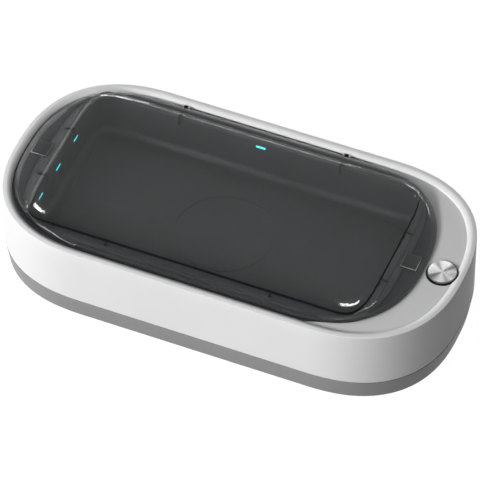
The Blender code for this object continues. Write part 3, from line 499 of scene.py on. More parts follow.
class Paint(Graph):
    """A material under construction: its Principled shader, its Object
    coordinates, and short ways to add the nodes that its finish needs."""

    def __init__(self, name, colour, roughness, metallic=0.0):
        self.material = bpy.data.materials.new(name)
        self.material.use_nodes = True
        super().__init__(self.material.node_tree)
        self.shader = self.nodes["Principled BSDF"]
        self.place = self.add("ShaderNodeTexCoord").outputs["Object"]
        self.colour = colour
        self.set({"Base Color": (*colour, 1.0), "Roughness": roughness, "Metallic": metallic})

    def set(self, sockets):
        """Fills sockets of the shader."""
        self.fill(self.shader, sockets)

    def noise(self, scale, detail=2.0, stretch=(1, 1, 1)):
        """Noise over the piece, between 0 and 1."""
        where = self.add("ShaderNodeMapping", {"Scale": stretch, "Vector": self.place})
        sockets = {"Scale": scale, "Detail": detail, "Vector": where.outputs[0]}
        return self.add("ShaderNodeTexNoise", sockets).outputs["Fac"]

    def around(self, centre):
        """Each point's place as seen from an upright axis."""
        sockets = {"Location": (-centre[0], -centre[1], 0), "Vector": self.place}
        return self.add("ShaderNodeMapping", sockets).outputs[0]

    def tones(self, source, stops):
        """The colour, darker or lighter over a 0 to 1 value: each stop is a
        place and a share of the colour."""
        node = self.add("ShaderNodeValToRGB", {0: source})
        while len(node.color_ramp.elements) < len(stops):
            node.color_ramp.elements.new(1.0)
        for element, (place, tone) in zip(node.color_ramp.elements, stops):
            element.position = place
            element.color = (*(min(c * tone, 1.0) for c in self.colour), 1.0)
        return node.outputs[0]

    def mottled(self, source, amount):
        """Colour between a little darker and a little lighter than plain."""
        return self.tones(source, ((0.3, 1 - amount), (0.7, 1 + amount)))

    def vary_colour(self, source, amount):
        """Mottles the whole colour."""
        self.set({"Base Color": self.mottled(source, amount)})

    def between(self, source, low, high):
        """A value from low to high over a 0 to 1 value."""
        sockets = {"Value": source, "To Min": low, "To Max": high}
        return self.add("ShaderNodeMapRange", sockets).outputs[0]

    def vary_roughness(self, source, low, high):
        """Roughness from low to high over a 0 to 1 value."""
        self.set({"Roughness": self.between(source, low, high)})

    def bump(self, source, depth):
        """Bump of a real depth in metres over a 0 to 1 value."""
        sockets = {"Strength": 1.0, "Distance": depth, "Height": source}
        self.set({"Normal": self.add("ShaderNodeBump", sockets).outputs[0]})


# Each moulded plastic: its colour unless a property gives it, roughness, scale
# and depth of its grain, and gloss.
PLASTICS = {
    "satin_white": (None, 0.45, 5000.0, 0.000006, 0.08),
    "matte_grey": (None, 0.5, 3500.0, 0.00001, 0.5),
    # Near black over the lid's step, edge, ribs and hinge lugs: painted shade, standing in for the
    # darkness that the clear plastic shows there.
    "lid_line": ((0.006, 0.006, 0.007), 0.45, 3000.0, 0.000003, 0.1),
    "lid_underside": ((0.043, 0.044, 0.046), 0.5, 3000.0, 0.000003, 0.1),
    "inner_black": ((0.03, 0.03, 0.03), 0.5, 3000.0, 0.00001, 0.5),
    "lamp_body": ((0.85, 0.85, 0.78), 0.4, 3000.0, 0.00001, 0.5),
    "ferrite_grey": ((0.06, 0.06, 0.06), 0.7, 900.0, 0.00003, 0.5),
}


def moulded_plastic(name, colour=None):
    """Moulded plastic: a fine spark-eroded grain, and a slight drift of
    colour and gloss over the surface."""
    own, roughness, grain, depth, gloss = PLASTICS[name]
    paint = Paint(name, colour or own, roughness)
    paint.set({"Specular IOR Level": gloss})
    paint.vary_colour(paint.noise(18.0), 0.02)
    paint.vary_roughness(paint.noise(60.0), roughness - 0.04, roughness + 0.04)
    paint.bump(paint.noise(grain, detail=1.0), depth)
    return paint.material


def deck_satin(name, colour, dark):
    """Satin lacquer with fine metallic flakes, and a dark band where the lid lands,
    which runs out to the lip at the front and the left end as painted shadow of
    the rim.  The band has none of the lacquer's metal."""
    metal = 0.1
    paint = Paint(name, colour, 0.45)
    flakes = paint.noise(9000.0, detail=1.0)
    lacquer = paint.mottled(flakes, 0.05)
    # The dark band, whose run-out at the front and the left is painted shadow of the rim.
    band = paint.add("ShaderNodeAttribute", attribute_name="landing").outputs["Fac"]
    # Sockets 6 and 7 are the mix's two colours.
    sockets = {"Factor": band, 6: lacquer, 7: (*dark, 1.0)}
    mix = paint.add("ShaderNodeMix", sockets, data_type="RGBA")
    bare = paint.math("MULTIPLY_ADD", band, -metal, metal)
    paint.set({"Base Color": mix.outputs[2], "Metallic": bare, "Specular IOR Level": 0.3})
    paint.vary_roughness(paint.noise(70.0), 0.41, 0.49)
    paint.bump(flakes, 0.000003)
    return paint.material


def gloss_plastic(name, colour):
    """Polished dark plastic with faint waves and uneven gloss."""
    paint = Paint(name, colour, 0.3)
    paint.set({"Specular IOR Level": 0.3})
    paint.vary_colour(paint.noise(25.0), 0.05)
    paint.vary_roughness(paint.noise(120.0), 0.27, 0.35)
    paint.bump(paint.noise(150.0, detail=1.0), 0.00001)
    return paint.material


def soft_rubber(name, colour, grain, depth):
    """Rubber with a fine pebbled skin."""
    paint = Paint(name, colour, 0.65)
    sockets = {"Scale": grain, "Vector": paint.place}
    cells = paint.add("ShaderNodeTexVoronoi", sockets, feature="SMOOTH_F1")
    paint.vary_colour(paint.noise(40.0), 0.08)
    paint.vary_roughness(paint.noise(200.0), 0.58, 0.74)
    paint.bump(cells.outputs["Distance"], depth)
    return paint.material


def plated_steel(name, colour, roughness):
    """Plated steel with faint scratches along X."""
    paint = Paint(name, colour, roughness, metallic=1.0)
    scratches = paint.noise(900.0, stretch=(0.05, 1, 1))
    paint.vary_roughness(scratches, roughness - 0.06, roughness + 0.1)
    paint.vary_colour(paint.noise(200.0), 0.06)
    return paint.material


def circuit_board(name, colour):
    """Solder mask over tracks: the tracks show as slightly paler bands."""
    paint = Paint(name, colour, 0.35)
    mask = (*colour, 1.0)
    pale = (*(min(c * 1.5 + 0.02, 1.0) for c in colour), 1.0)
    sockets = {"Color1": mask, "Color2": mask, "Mortar": pale, "Vector": paint.place}
    sockets |= {"Scale": 300.0, "Mortar Size": 0.12}
    tracks = paint.add("ShaderNodeTexBrick", sockets, offset=0.5)
    paint.set({"Base Color": tracks.outputs["Color"]})
    paint.bump(tracks.outputs["Fac"], 0.00003)
    return paint.material


def wound_copper(name, centre):
    """Copper wire wound in a flat ring: fine turns round the centre."""
    paint = Paint(name, (0.72, 0.38, 0.20), 0.3, metallic=1.0)
    sockets = {"Scale": 400.0, "Vector": paint.around(centre)}
    wave = paint.add("ShaderNodeTexWave", sockets, wave_type="RINGS", rings_direction="Z")
    paint.vary_colour(wave.outputs["Fac"], 0.25)
    paint.bump(wave.outputs["Fac"], 0.0001)
    return paint.material


# Painted reflection: the bright and dark spokes of the spun metal, as tones of
# its colour over half a turn, which repeats: place and share of the colour.
PAINTED_SPOKES = (
    (0.0, 0.68), (0.07, 0.54), (0.15, 0.52), (0.27, 0.10), (0.34, 0.28),
    (0.41, 0.66), (0.51, 1.0), (0.56, 1.0), (0.73, 0.36), (0.80, 0.70),
    (0.87, 1.0), (0.94, 0.70), (1.0, 0.68),
)


def spun_metal(name, colour, centre):
    """Metal turned on a lathe: fine rings round the centre that stretch each
    reflection across them.  The bright and dark spokes that they show are
    painted into the colour as a painted reflection."""
    paint = Paint(name, colour, 0.28, metallic=1.0)
    tangent = paint.add("ShaderNodeTangent", direction_type="RADIAL", axis="Z")
    paint.set({"Anisotropic": 0.85, "Tangent": tangent.outputs[0]})
    x, y, _ = paint.add("ShaderNodeSeparateXYZ", {0: paint.around(centre)}).outputs
    squares = paint.math("ADD", paint.math("MULTIPLY", x, x), paint.math("MULTIPLY", y, y))
    sockets = {"Scale": 9000.0, "W": paint.math("SQRT", squares)}
    ripple = paint.add("ShaderNodeTexNoise", sockets, noise_dimensions="1D")
    paint.vary_roughness(ripple.outputs["Fac"], 0.22, 0.34)
    angle = paint.math("ARCTAN2", y, x)
    half_turns = paint.math("MULTIPLY_ADD", angle, 1 / math.pi, 1.0)
    # The spokes are painted reflection in the base colour.
    paint.set({"Base Color": paint.tones(paint.math("FRACT", half_turns), PAINTED_SPOKES)})
    return paint.material


def clear_lid(name, absorbed):
    """Clear smoked plastic with a hard gloss coat.  It darkens with the length
    of the way through it and lets lamps through."""
    paint = Paint(name, (0.92, 0.93, 0.93), 0.02)
    paint.set({"Transmission Weight": 1.0, "IOR": 1.08})
    paint.set({"Coat Weight": 1.0, "Coat IOR": 1.5, "Coat Roughness": 0.05})
    paint.vary_roughness(paint.noise(80.0), 0.01, 0.03)
    depth = paint.add("ShaderNodeVolumeAbsorption", {"Color": (*absorbed, 1.0), "Density": 200.0})
    open_way = paint.add("ShaderNodeBsdfTransparent", {"Color": (0.4, 0.4, 0.4, 1.0)})
    shadow = paint.add("ShaderNodeLightPath").outputs["Is Shadow Ray"]
    sockets = {0: shadow, 1: paint.shader.outputs[0], 2: open_way.outputs[0]}
    surface = paint.add("ShaderNodeMixShader", sockets).outputs[0]
    output = paint.nodes["Material Output"]
    paint.fill(output, {"Surface": surface, "Volume": depth.outputs[0]})
    return paint.material


def lit_window(name, colour):
    """Frosted window lit from behind by its lamp."""
    paint = Paint(name, (0.35, 0.75, 0.80), 0.3)
    glow = paint.between(paint.noise(300.0), 1.4, 2.0)
    paint.set({"Emission Color": (*colour, 1.0), "Emission Strength": glow})
    return paint.material


def case_outline(distance=0.0):
    """The case's oval, inset by a distance."""
    case = sizes("case")
    low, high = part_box("outer_shell")
    curve = case.end, case.power
    return inset(superellipse(low[0], high[0], high[1], curve, curve, case.steps), distance)


def cavity_place():
    """Left and right ends, side and middle of the cavity's inner walls."""
    margin = sizes("cavity").pad_margin
    low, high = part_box("charging_pad")
    return low[0] - margin, high[0] + margin, high[1] + margin, (low[0] + high[0]) / 2


def cavity_outline(distance=0.0):
    """The cavity's inner outline, inset by a small distance or grown."""
    cavity = sizes("cavity")
    curve = cavity.end, cavity.power
    return inset(superellipse(*cavity_place()[:3], curve, curve, sizes("case").steps), distance)


def panel_outline(distance):
    """The outline of the lid's panel, drawn in by a distance with its corners
    kept round."""
    lid = sizes("lid")
    cavity = sizes("cavity")
    left, right, side, _ = cavity_place()
    grown = lid.step_offset - distance
    curve = cavity.end - lid.corner_keep * distance, cavity.power
    return superellipse(left - grown, right + grown, side + grown, curve, curve, lid.steps)


def lid_outline():
    """The lid's outer outline."""
    lid = sizes("lid")
    low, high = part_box("lid_cover")
    left, right = (lid.left_end, lid.left_power), (lid.right_end, lid.right_power)
    return superellipse(low[0], high[0], -low[1], left, right, lid.steps)


def band_and_rim_shadow_outline():
    """The dark band's edge on the deck: just inside the lid's edge, and running
    out to the lip where the outline faces the front and the left, where the band
    is painted shadow of the rim."""
    case = sizes("case")
    # How squarely the outline has to face that way for the band to start to
    # run out, and how much more squarely until it is at the lip.
    least, blend = 0.55, 0.12
    outline = lid_outline()
    facing = (outline - inset(outline, 1.0)) @ np.array([-1.0, -1.0]) / math.sqrt(2)
    share = np.clip((facing - least) / blend, 0, 1)
    grown = inset(outline, -case.rim_shadow_spread)
    held = inset(outline, case.band_inset)
    return held + (grown - held) * share[:, None]


def skirt_outline(share):
    """A line on the skirt, from the lid's edge at 0 to the step at 1."""
    return (1 - share) * lid_outline() + share * panel_outline(0)


def deck_level():
    """Height of the deck's top."""
    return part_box("deck_plate")[1][2]


def lid_bottom():
    """Height of the lid's underside round its edge."""
    return deck_level() + seat_gap


def skirt_height(share):
    """Top of the skirt: edge + rise * (1 - (1 - share)^power)."""
    lid = sizes("lid")
    return lid_bottom() + lid.edge_height + lid.skirt_rise * (1 - (1 - share) ** lid.skirt_power)


def crown_height(distance):
    """Rise of the panel at a distance in from the step: a quarter of a
    superellipse, rise * (1 - (1 - t)^power)^(1/power)."""
    lid = sizes("lid")
    t = min(distance / lid.crown_reach, 1.0)
    return lid.crown_rise * (1 - (1 - t) ** lid.crown_power) ** (1 / lid.crown_power)


def button_hole(low, high, slack=0.0):
    """Skin of the hole for the button's ring, between two heights."""
    radius = half_width("button_bezel") + seat_gap + slack
    return drum(radius, low, high, (middle_of("button_bezel")[0], 0), sizes("button").steps)


def socket_opening():
    """Skin of the charging socket's outline, grown by a gap and drawn out
    through the wall."""
    low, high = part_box("usb_c_port")
    middle = middle_of("usb_c_port")
    radius = (high[2] - low[2]) / 2
    reach = half_width("usb_c_port") - radius
    grown = radius + seat_gap
    turn = np.linspace(-np.pi / 2, np.pi / 2, 17)
    x = np.concatenate([reach + grown * np.cos(turn), -reach - grown * np.cos(turn)])
    z = np.concatenate([grown * np.sin(turn), -grown * np.sin(turn)])
    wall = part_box("outer_shell")[1][1]
    outline = np.column_stack([middle[0] + x, middle[2] + z])
    return drawn_out(1, outline, wall - sizes("case").wall - overrun, wall + overrun)


class SANITISER_OT_wall(bpy.types.Operator):
    """White oval wall with its rim and the bevelled lip over the deck"""

    bl_idname = "sanitiser.wall"
    bl_label = "White wall"

    def execute(self, context):
        case = sizes("case")
        low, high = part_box("outer_shell")
        top = high[2]
        lip = deck_level() + seat_gap
        upright = top - case.rim_drop
        shoulder = (case.rim_round, top - case.rim_fall)
        band = (case.rim_band, top)
        bend = (case.lip_reach - case.lip_bend, top - case.lip_fall)
        foot = (case.lip_reach, lip + case.lip_edge)
        profile = [
            (0, low[2] + case.seam_round),
            *((0, z) for z in np.linspace(low[2] + 2 * case.seam_round, upright, 6)[:-1]),
            *rounded((0, upright), (0, shoulder[1]), shoulder, 6),
            *rounded(shoulder, (case.rim_slope, top), band, 6)[1:-1],
            *rounded(band, bend, foot, 10),
            (case.lip_reach, lip),
            (case.wall, lip),
            (case.wall, low[2]),
            (case.seam_round, low[2]),
        ]
        rings = [level(case_outline(a), z) for a, z in profile]
        wall = body("white_wall", [skin(rings, wrap=True)])
        shape_with(wall, "DIFFERENCE", [socket_opening()])
        notch = button_hole(deck_level(), top + overrun, sizes("lid").slide_gap)
        shape_with(wall, "DIFFERENCE", [notch])
        paint = moulded_plastic("satin_white", tint("white"))
        dress(wall, paint, "case", ["outer_shell"])
        return {"FINISHED"}


class SANITISER_OT_base(bpy.types.Operator):
    """Grey base with its tongue, pockets and screw wells"""

    bl_idname = "sanitiser.base"
    bl_label = "Grey base"

    def execute(self, context):
        case = sizes("case")
        low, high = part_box("lower_housing")
        foot = low[2]
        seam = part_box("outer_shell")[0][2] - seat_gap
        tongue = case.wall + seat_gap
        inner = tongue + case.tongue_wall
        taper, chamfer, edge = case.base_taper, case.base_chamfer, case.seam_round
        inward = taper * edge / (seam - foot)
        profile = [
            *rounded((taper + chamfer, foot), (taper, foot), (taper, foot + chamfer), 6),
            *rounded((inward, seam - edge), (0, seam), (edge, seam), 4),
            (tongue, seam),
            (tongue, high[2]),
            (inner, high[2]),
            (inner, foot + case.base_floor),
        ]
        base = body("grey_base", [skin([level(case_outline(a), z) for a, z in profile])])
        wells = [
            (name, half_width(name) + seat_gap, case.foot_pocket, 64)
            for name in nodes_like("foot_")
        ]
        wells += [
            (name, case.screw_well, case.screw_well_depth, 48)
            for name in nodes_like("case_screw_")
        ]
        holes = [
            drum(radius, foot - overrun, foot + depth, middle_of(name)[:2], steps)
            for name, radius, depth, steps in wells
        ]
        shape_with(base, "DIFFERENCE", holes)
        paint = moulded_plastic("matte_grey", tint("base"))
        dress(base, paint, "case", ["lower_housing"])
        return {"FINISHED"}


class SANITISER_OT_deck(bpy.types.Operator):
    """Satin deck with the cavity's opening, the button's hole and the hinge slots"""

    bl_idname = "sanitiser.deck"
    bl_label = "Deck"

    def execute(self, context):
        case = sizes("case")
        cavity = sizes("cavity")
        top = deck_level()
        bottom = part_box("latch_plate_left")[1][2] + seat_gap
        edge = case_outline(case.wall + seat_gap)
        step = top - cavity.rim_thickness - seat_gap
        wall_cut = cavity_outline(-cavity.wall - seat_gap)
        rim_cut = kept_within(cavity_outline(-cavity.rim_reach - seat_gap), lid_outline())
        # Edge of the dark band: under the lid, and running out as painted shadow of the rim at the
        # front and the left.
        band = band_and_rim_shadow_outline()
        rings = [
            level(edge, bottom),
            level(edge, top),
            level(inset(band, -case.band_edge), top),
            level(band, top),
            level(rim_cut, top),
            level(rim_cut, step),
            level(wall_cut, step),
            level(wall_cut, bottom),
        ]
        deck = body("satin_deck", [skin(rings, wrap=True)])
        cuts = [button_hole(bottom - overrun, top + overrun)]
        for side in ("left", "right"):
            start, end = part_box("hinge_pin_" + side)
            _, y, z = middle_of("hinge_pin_" + side)
            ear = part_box("hinge_bracket_" + side)[1][2] - z
            low = (start[0] - seat_gap, y - sizes("lid").notch_depth, bottom - overrun)
            high = (end[0] + seat_gap, y + ear + seat_gap, top + overrun)
            cuts.append(block(low, high))
        shape_with(deck, "DIFFERENCE", cuts)
        points = vertices(deck)
        mark(deck, "landing", within(points[:, :2], inset(band, -case.band_edge / 2)))
        paint = deck_satin("satin_grey", tint("deck"), tint("liner"))
        dress(deck, paint, "case", ["deck_plate"])
        return {"FINISHED"}


class SANITISER_OT_cavity(bpy.types.Operator):
    """Dark cavity and the pad on its floor"""

    bl_idname = "sanitiser.cavity"
    bl_label = "Cavity and pad"

    def execute(self, context):
        cavity = sizes("cavity")
        floor_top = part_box("charging_pad")[0][2] - seat_gap
        floor_bottom = floor_top - cavity.floor
        top = deck_level()
        rim_bottom = top - cavity.rim_thickness
        out, reach = -cavity.wall, -cavity.rim_reach
        swell = cavity.fillet + cavity.floor
        swell_top = floor_bottom + swell
        edge = cavity.rim_round
        turn = np.linspace(0, np.pi / 2, 12)
        fillet = cavity.fillet * (1 - np.column_stack([np.cos(turn), np.sin(turn)]))
        profile = [
            *rounded((swell + out, floor_bottom), (out, floor_bottom), (out, swell_top), 8),
            (out, rim_bottom),
            (reach, rim_bottom),
            *rounded((reach, top - edge), (reach, top), (edge + reach, top), 4),
            *rounded((-edge, top), (0, top), (0, top - edge), 4),
            *(fillet + (0, floor_top)),
        ]
        limit = inset(lid_outline(), seat_gap)
        rings = [level(kept_within(cavity_outline(a), limit), z) for a, z in profile]
        liner = body("dark_cavity", [skin(rings)])
        shape_with(liner, "DIFFERENCE", [lamp_slit(name) for name in nodes_like("uv_led_")])
        paint = gloss_plastic("cavity_gloss", tint("liner"))
        dress(liner, paint, "case", ["tray_liner"])
        make_pad()
        return {"FINISHED"}


def make_pad():
    """The pad, with a chamfer round its top and a ring over the coil."""
    cavity = sizes("cavity")
    low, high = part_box("charging_pad")
    curve = cavity.pad_end, cavity.power
    whole = superellipse(low[0], high[0], high[1], curve, curve, sizes("case").steps)
    edge = cavity.pad_chamfer
    profile = [(0, low[2]), *rounded((0, high[2] - edge), (0, high[2]), (edge, high[2]), 5)]
    pad = body("pad", [skin([level(inset(whole, a), z) for a, z in profile])])
    inner = cavity.ring_radius - cavity.ring_width / 2
    outer = cavity.ring_radius + cavity.ring_width / 2
    middle = (cavity_place()[3], 0)
    groove = washer(inner, outer, high[2] - cavity.ring_depth, high[2] + overrun, middle, 160)
    shape_with(pad, "DIFFERENCE", [groove])
    paint = soft_rubber("pad_rubber", tint("pad"), 1500.0, 0.00006)
    dress(pad, paint, "case", ["charging_pad"])


def lamp_slit(name):
    """Skin of the slit in the cavity's wall in front of a lamp."""
    cavity = sizes("cavity")
    left, right, side, _ = cavity_place()
    window = "uv_window_" + name.split("_")[2]
    x, y, _ = middle_of(name)
    long, tall = cavity.slit_length / 2, cavity.slit_height / 2
    depth = cavity.wall + seat_gap / 2
    if window.endswith(("left", "right")):
        z = middle_of(window)[2]
        near, far = right - overrun, right + depth
        if x < left:
            near, far = left - depth, left + overrun
        return block((near, y - long, z - tall), (far, y + long, z + tall))
    z = nose_level(window)
    near, far = side - overrun, side + depth
    if y < 0:
        near, far = -far, -near
    return block((x - long, near, z - tall), (x + long, far, z + tall))


def nose_level(window):
    """Height of the middle of a window's nose, from the points nearest the
    cavity."""
    points = vertices(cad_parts[window])
    near = np.abs(points[:, 1]) < np.abs(points[:, 1]).min() + seat_gap / 2
    return (points[near, 2].min() + points[near, 2].max()) / 2


# The skirt's rings, from the step outwards: shares of the way from the lid's
# edge to the step.
SKIRT_ROWS = (0.985, *np.linspace(0.94, 0.09, 18))
# The rings under the skirt, from the edge inwards: share of the way to the step
# and rise in shares of the shoulder's.
UNDER_ROWS = ((0.02, 0), (0.30, 0), (0.54, 0), (0.60, 0.7), (0.66, 1.1))
# How many rows of faces between them, from the edge inwards, are matt.
MATT_ROWS = 3


class SANITISER_OT_lid(bpy.types.Operator):
    """Clear lid with its seal and magnets"""

    bl_idname = "sanitiser.lid"
    bl_label = "Lid"

    def execute(self, context):
        make_cover()
        make_seal()
        make_magnets()
        return {"FINISHED"}


def make_cover():
    """The cover: rings from the panel's middle out over the step and the
    skirt, round the edge, and back in underneath."""
    lid = sizes("lid")
    bottom = lid_bottom()
    step_top = skirt_height(1) + lid.step_rise
    # The innermost ring is a narrow strip, twice this wide.
    strip = 0.0006
    reach = cavity_place()[2] - strip
    # The rings stand closest together at the panel's edge, where it bends most.
    inward = lid.crown_reach * np.linspace(0, 1, 20) ** 2.5
    flat = np.linspace(lid.crown_reach, reach, 8)[1:]
    over = np.concatenate([inward, flat])
    rings = []
    for d in over[::-1]:
        rings.append(level(panel_outline(lid.step_draft + d), step_top + crown_height(d)))
    line_start = len(over) - 1 - np.count_nonzero(over <= lid.line_reach)
    line_end = len(rings)
    rings.append(level(panel_outline(0), skirt_height(1)))
    rings += [level(skirt_outline(share), skirt_height(share)) for share in SKIRT_ROWS]
    start = (lid.round_share, skirt_height(lid.round_share) - bottom)
    end = (0, lid.edge_height - lid.edge_round)
    for across, height in rounded(start, (0, lid.edge_height), end, 7):
        rings.append(level(skirt_outline(across), bottom + height))
    edge_row = len(rings) - 1
    rings.append(level(skirt_outline(0), bottom + lid.edge_chamfer))
    under_row = len(rings)
    for share, rise in UNDER_ROWS:
        rings.append(level(skirt_outline(share), bottom + lid.shoulder_rise * rise))
    rings.append(level(skirt_outline(1.0), skirt_height(1) - lid.skirt_thickness))
    half = lid.panel_thickness / 2
    for d in over[(over > half) & (over < reach - half)]:
        height = step_top + crown_height(d) - lid.panel_thickness
        rings.append(level(panel_outline(d + half), height))
    clear = clear_lid("clear_smoke", tint("smoke"))
    materials = [clear, moulded_plastic("lid_line"), moulded_plastic("lid_underside")]
    cover = body("clear_cover", [skin(rings)], materials)
    rows = np.arange(len(cover.data.polygons)) // len(rings[0])
    # The step and the edge take the painted dark shade; the rows under the edge take the matt
    # underside.
    dark = (rows > line_start) & (rows < line_end) | (rows >= edge_row) & (rows < under_row)
    matt = (rows >= under_row) & (rows < under_row + MATT_ROWS)
    finish_faces(cover, dark + 2 * matt)
    # The ribs take the painted dark shade too.
    shape_with(cover, "UNION", ribs(), second=True)
    shape_hinges(cover)
    outer = inset(lid_outline(), seal_edges()[0] - lid.slide_gap)
    inner = inset(lid_outline(), seal_edges()[1] + lid.slide_gap)
    rebate = band_between(outer, inner, bottom - overrun, bottom + lid.seal_rebate)
    shape_with(cover, "DIFFERENCE", [rebate])
    pockets = []
    for name in nodes_like("lid_magnet_"):
        low, high = (np.array(corner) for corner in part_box(name))
        low, high = low - seat_gap, high + seat_gap
        low[2] = bottom - overrun
        pockets.append(block(low, high))
    shape_with(cover, "DIFFERENCE", pockets)
    dress(cover, None, "lid", ["lid_cover"], sharp=28.0)


def seal_edges():
    """Insets of the seal's outer and inner edge from the lid's side."""
    width = 0.0008
    start = -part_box("lid_cover")[0][1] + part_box("lid_seal")[0][1]
    return start, start + width


def ribs():
    """The locating ribs: a tab that hangs inside the cavity's wall, and a web
    that runs out under the skirt."""
    lid = sizes("lid")
    bottom = lid_bottom()
    left, right, side, middle = cavity_place()
    foot = bottom - seat_gap - lid.rib_depth
    web = bottom + lid.rib_web
    face = -lid.rib_clearance
    back = -lid.rib_clearance - lid.rib_thickness
    roof = skirt_height(1) + lid.step_rise - lid.panel_thickness / 2
    tip, root = (lid.rib_reach, web), (lid.rib_reach, web + lid.rib_root)
    out, up = np.array([(back, foot), (face, foot), (face, web), tip, root, (back, roof)]).T
    spots = [(0, middle_of("hinge_pin_" + name)[0], 0, side) for name in ("left", "right")]
    for place in (-lid.rib_end_spread, lid.rib_end_spread):
        spots.append((1, place, middle, (right - left) / 2))
    half = lid.rib_width / 2
    skins = []
    for axis, place, centre, reach in spots:
        for sign in (-1, 1):
            outline = np.column_stack([centre + sign * (reach + out), up])
            skins.append(drawn_out(axis, outline, place - half, place + half))
    return skins


def shape_hinges(cover):
    """Notches in the back edge, and a lug with its knuckle in each."""
    lid = sizes("lid")
    bottom = lid_bottom()
    notches, lugs, knuckles, bores = [], [], [], []
    for side in ("left", "right"):
        pin = "hinge_pin_" + side
        low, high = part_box(pin)
        x, y, z = middle_of(pin)
        reach = half_width(pin) + seat_gap
        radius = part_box("lid_cover")[1][1] - y
        half = lid.knuckle_width / 2
        start = (x - reach, y - lid.notch_depth, bottom - overrun)
        end = (x + reach, y + overrun, bottom + lid.skirt_rise + overrun)
        notches.append(block(start, end))
        top = z + radius - lid.slide_gap / 2
        start = (x - half, y - lid.notch_depth - lid.lug_root, top - lid.lug_height)
        lugs.append(block(start, (x + half, y, top)))
        knuckles.append(drawn_out(0, circle(radius, 40, (y, z)), x - half, x + half))
        bore = circle((high[2] - low[2]) / 2 + lid.pin_gap, 32, (y, z))
        bores.append(drawn_out(0, bore, x - half - overrun, x + half + overrun))
    shape_with(cover, "DIFFERENCE", notches)
    # The lugs and knuckles take the painted dark shade too.
    shape_with(cover, "UNION", lugs, second=True)
    shape_with(cover, "UNION", knuckles, second=True)
    shape_with(cover, "DIFFERENCE", bores)


def make_seal():
    """The seal: a flat ring under the lid's edge."""
    low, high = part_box("lid_seal")
    outer, inner = (inset(lid_outline(), edge) for edge in seal_edges())
    seal = body("seal_ring", [band_between(outer, inner, low[2], high[2])])
    paint = soft_rubber("seal_rubber", (0.012, 0.012, 0.012), 3000.0, 0.00002)
    dress(seal, paint, "lid", ["lid_seal"])


def make_magnets():
    """Magnets whose bevelled edges are painted bright, as a painted highlight."""
    dark = plated_steel("dark_plate", (0.03, 0.03, 0.03), 0.5)
    bright = plated_steel("bright_plate", (0.70, 0.70, 0.70), 0.3)
    for name in nodes_like("lid_magnet_"):
        magnet = body(name + "_block", [block(*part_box(name))], [dark, bright])
        edge = magnet.modifiers.new("edge", "BEVEL")
        edge.width = sizes("lid").magnet_edge
        edge.material = 1
        dress(magnet, None, "lid", [name])


class SANITISER_OT_button(bpy.types.Operator):
    """Spun metal button in its dark ring, and the black parts inside"""

    bl_idname = "sanitiser.button"
    bl_label = "Button"

    def execute(self, context):
        button = sizes("button")
        low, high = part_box("button_cap")
        middle = middle_of("button_cap")[:2]
        radius = half_width("button_cap")
        top = high[2]
        thickness = 0.0026
        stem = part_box("switch_plunger")[1][0] - middle[0]
        under = top - thickness
        face = radius - button.chamfer
        profile = [(stem, low[2]), (stem, under), (radius, under), (radius, top - button.chamfer)]
        profile.append((face, top))
        chamfer_row = len(profile) - 2
        for share in np.linspace(0.97, 0.01, 24):
            profile.append((face * share, top - button.dish * (1 - share**2)))
        materials = [
            spun_metal("spun_metal", tint("metal"), middle),
            # The chamfer's darker steel is a painted reflection: the dark arc at the face's edge.
            plated_steel("turned_edge", (0.22, 0.22, 0.22), 0.3),
        ]
        cap = body("spun_button", [turned(profile, middle, button.steps)], materials)
        rows = np.arange(len(cap.data.polygons)) // button.steps
        finish_faces(cap, rows == chamfer_row)
        dress(cap, None, "button", ["button_cap"])
        low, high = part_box("button_bezel")
        inner = radius + button.bezel_gap
        shape = washer(inner, half_width("button_bezel"), low[2], high[2], middle, button.steps)
        paint = gloss_plastic("ring_black", (0.012, 0.012, 0.012))
        dress(body("button_ring", [shape]), paint, "case", ["button_bezel"])
        inside = ["switch_body", "switch_plunger", "lid_sensor", "coil_holder"]
        repaint(inside, moulded_plastic("inner_black"))
        return {"FINISHED"}


class SANITISER_OT_lamps(bpy.types.Operator):
    """Lit windows, lamps and their boards"""

    bl_idname = "sanitiser.lamps"
    bl_label = "Lamps"

    def execute(self, context):
        repaint(nodes_like("uv_window_"), lit_window("lit_window", tint("glow")))
        repaint(nodes_like("uv_led_"), moulded_plastic("lamp_body"))
        repaint(nodes_like("led_board_"), circuit_board("white_board", (0.75, 0.75, 0.72)))
        return {"FINISHED"}


class SANITISER_OT_fittings(bpy.types.Operator):
    """Hinges, screws, socket, boards and coil: carried-over solids with their finishes"""

    bl_idname = "sanitiser.fittings"
    bl_label = "Fittings"

    def execute(self, context):
        satin = plated_steel("satin_steel", (0.60, 0.60, 0.61), 0.40)
        repaint(nodes_like("hinge_bracket_"), satin)
        plated = plated_steel("plated_steel", (0.55, 0.55, 0.56), 0.28)
        repaint(nodes_like("hinge_pin_", "case_screw_", "board_screw_"), plated)
        repaint(nodes_like("latch_plate_", "usb_c_port"), plated)
        repaint(["main_board", "button_board"], circuit_board("green_board", (0.02, 0.13, 0.05)))
        repaint(["charging_coil"], wound_copper("wound_copper", (cavity_place()[3], 0)))
        repaint(["ferrite_sheet"], moulded_plastic("ferrite_grey"))
        return {"FINISHED"}


class SANITISER_OT_feet(bpy.types.Operator):
    """Rubber feet"""

    bl_idname = "sanitiser.feet"
    bl_label = "Feet"

    def execute(self, context):
        paint = soft_rubber("foot_rubber", (0.02, 0.02, 0.02), 2500.0, 0.00003)
        edge = 0.0003
        for name in nodes_like("foot_"):
            low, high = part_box(name)
            radius = half_width(name)
            start, end = (radius - edge, low[2]), (radius, low[2] + edge)
            profile = [*rounded(start, (radius, low[2]), end, 5), (radius, high[2])]
            foot = body("rubber_" + name, [turned(profile, middle_of(name)[:2], 64)])
            dress(foot, paint, "case", [name])
        return {"FINISHED"}


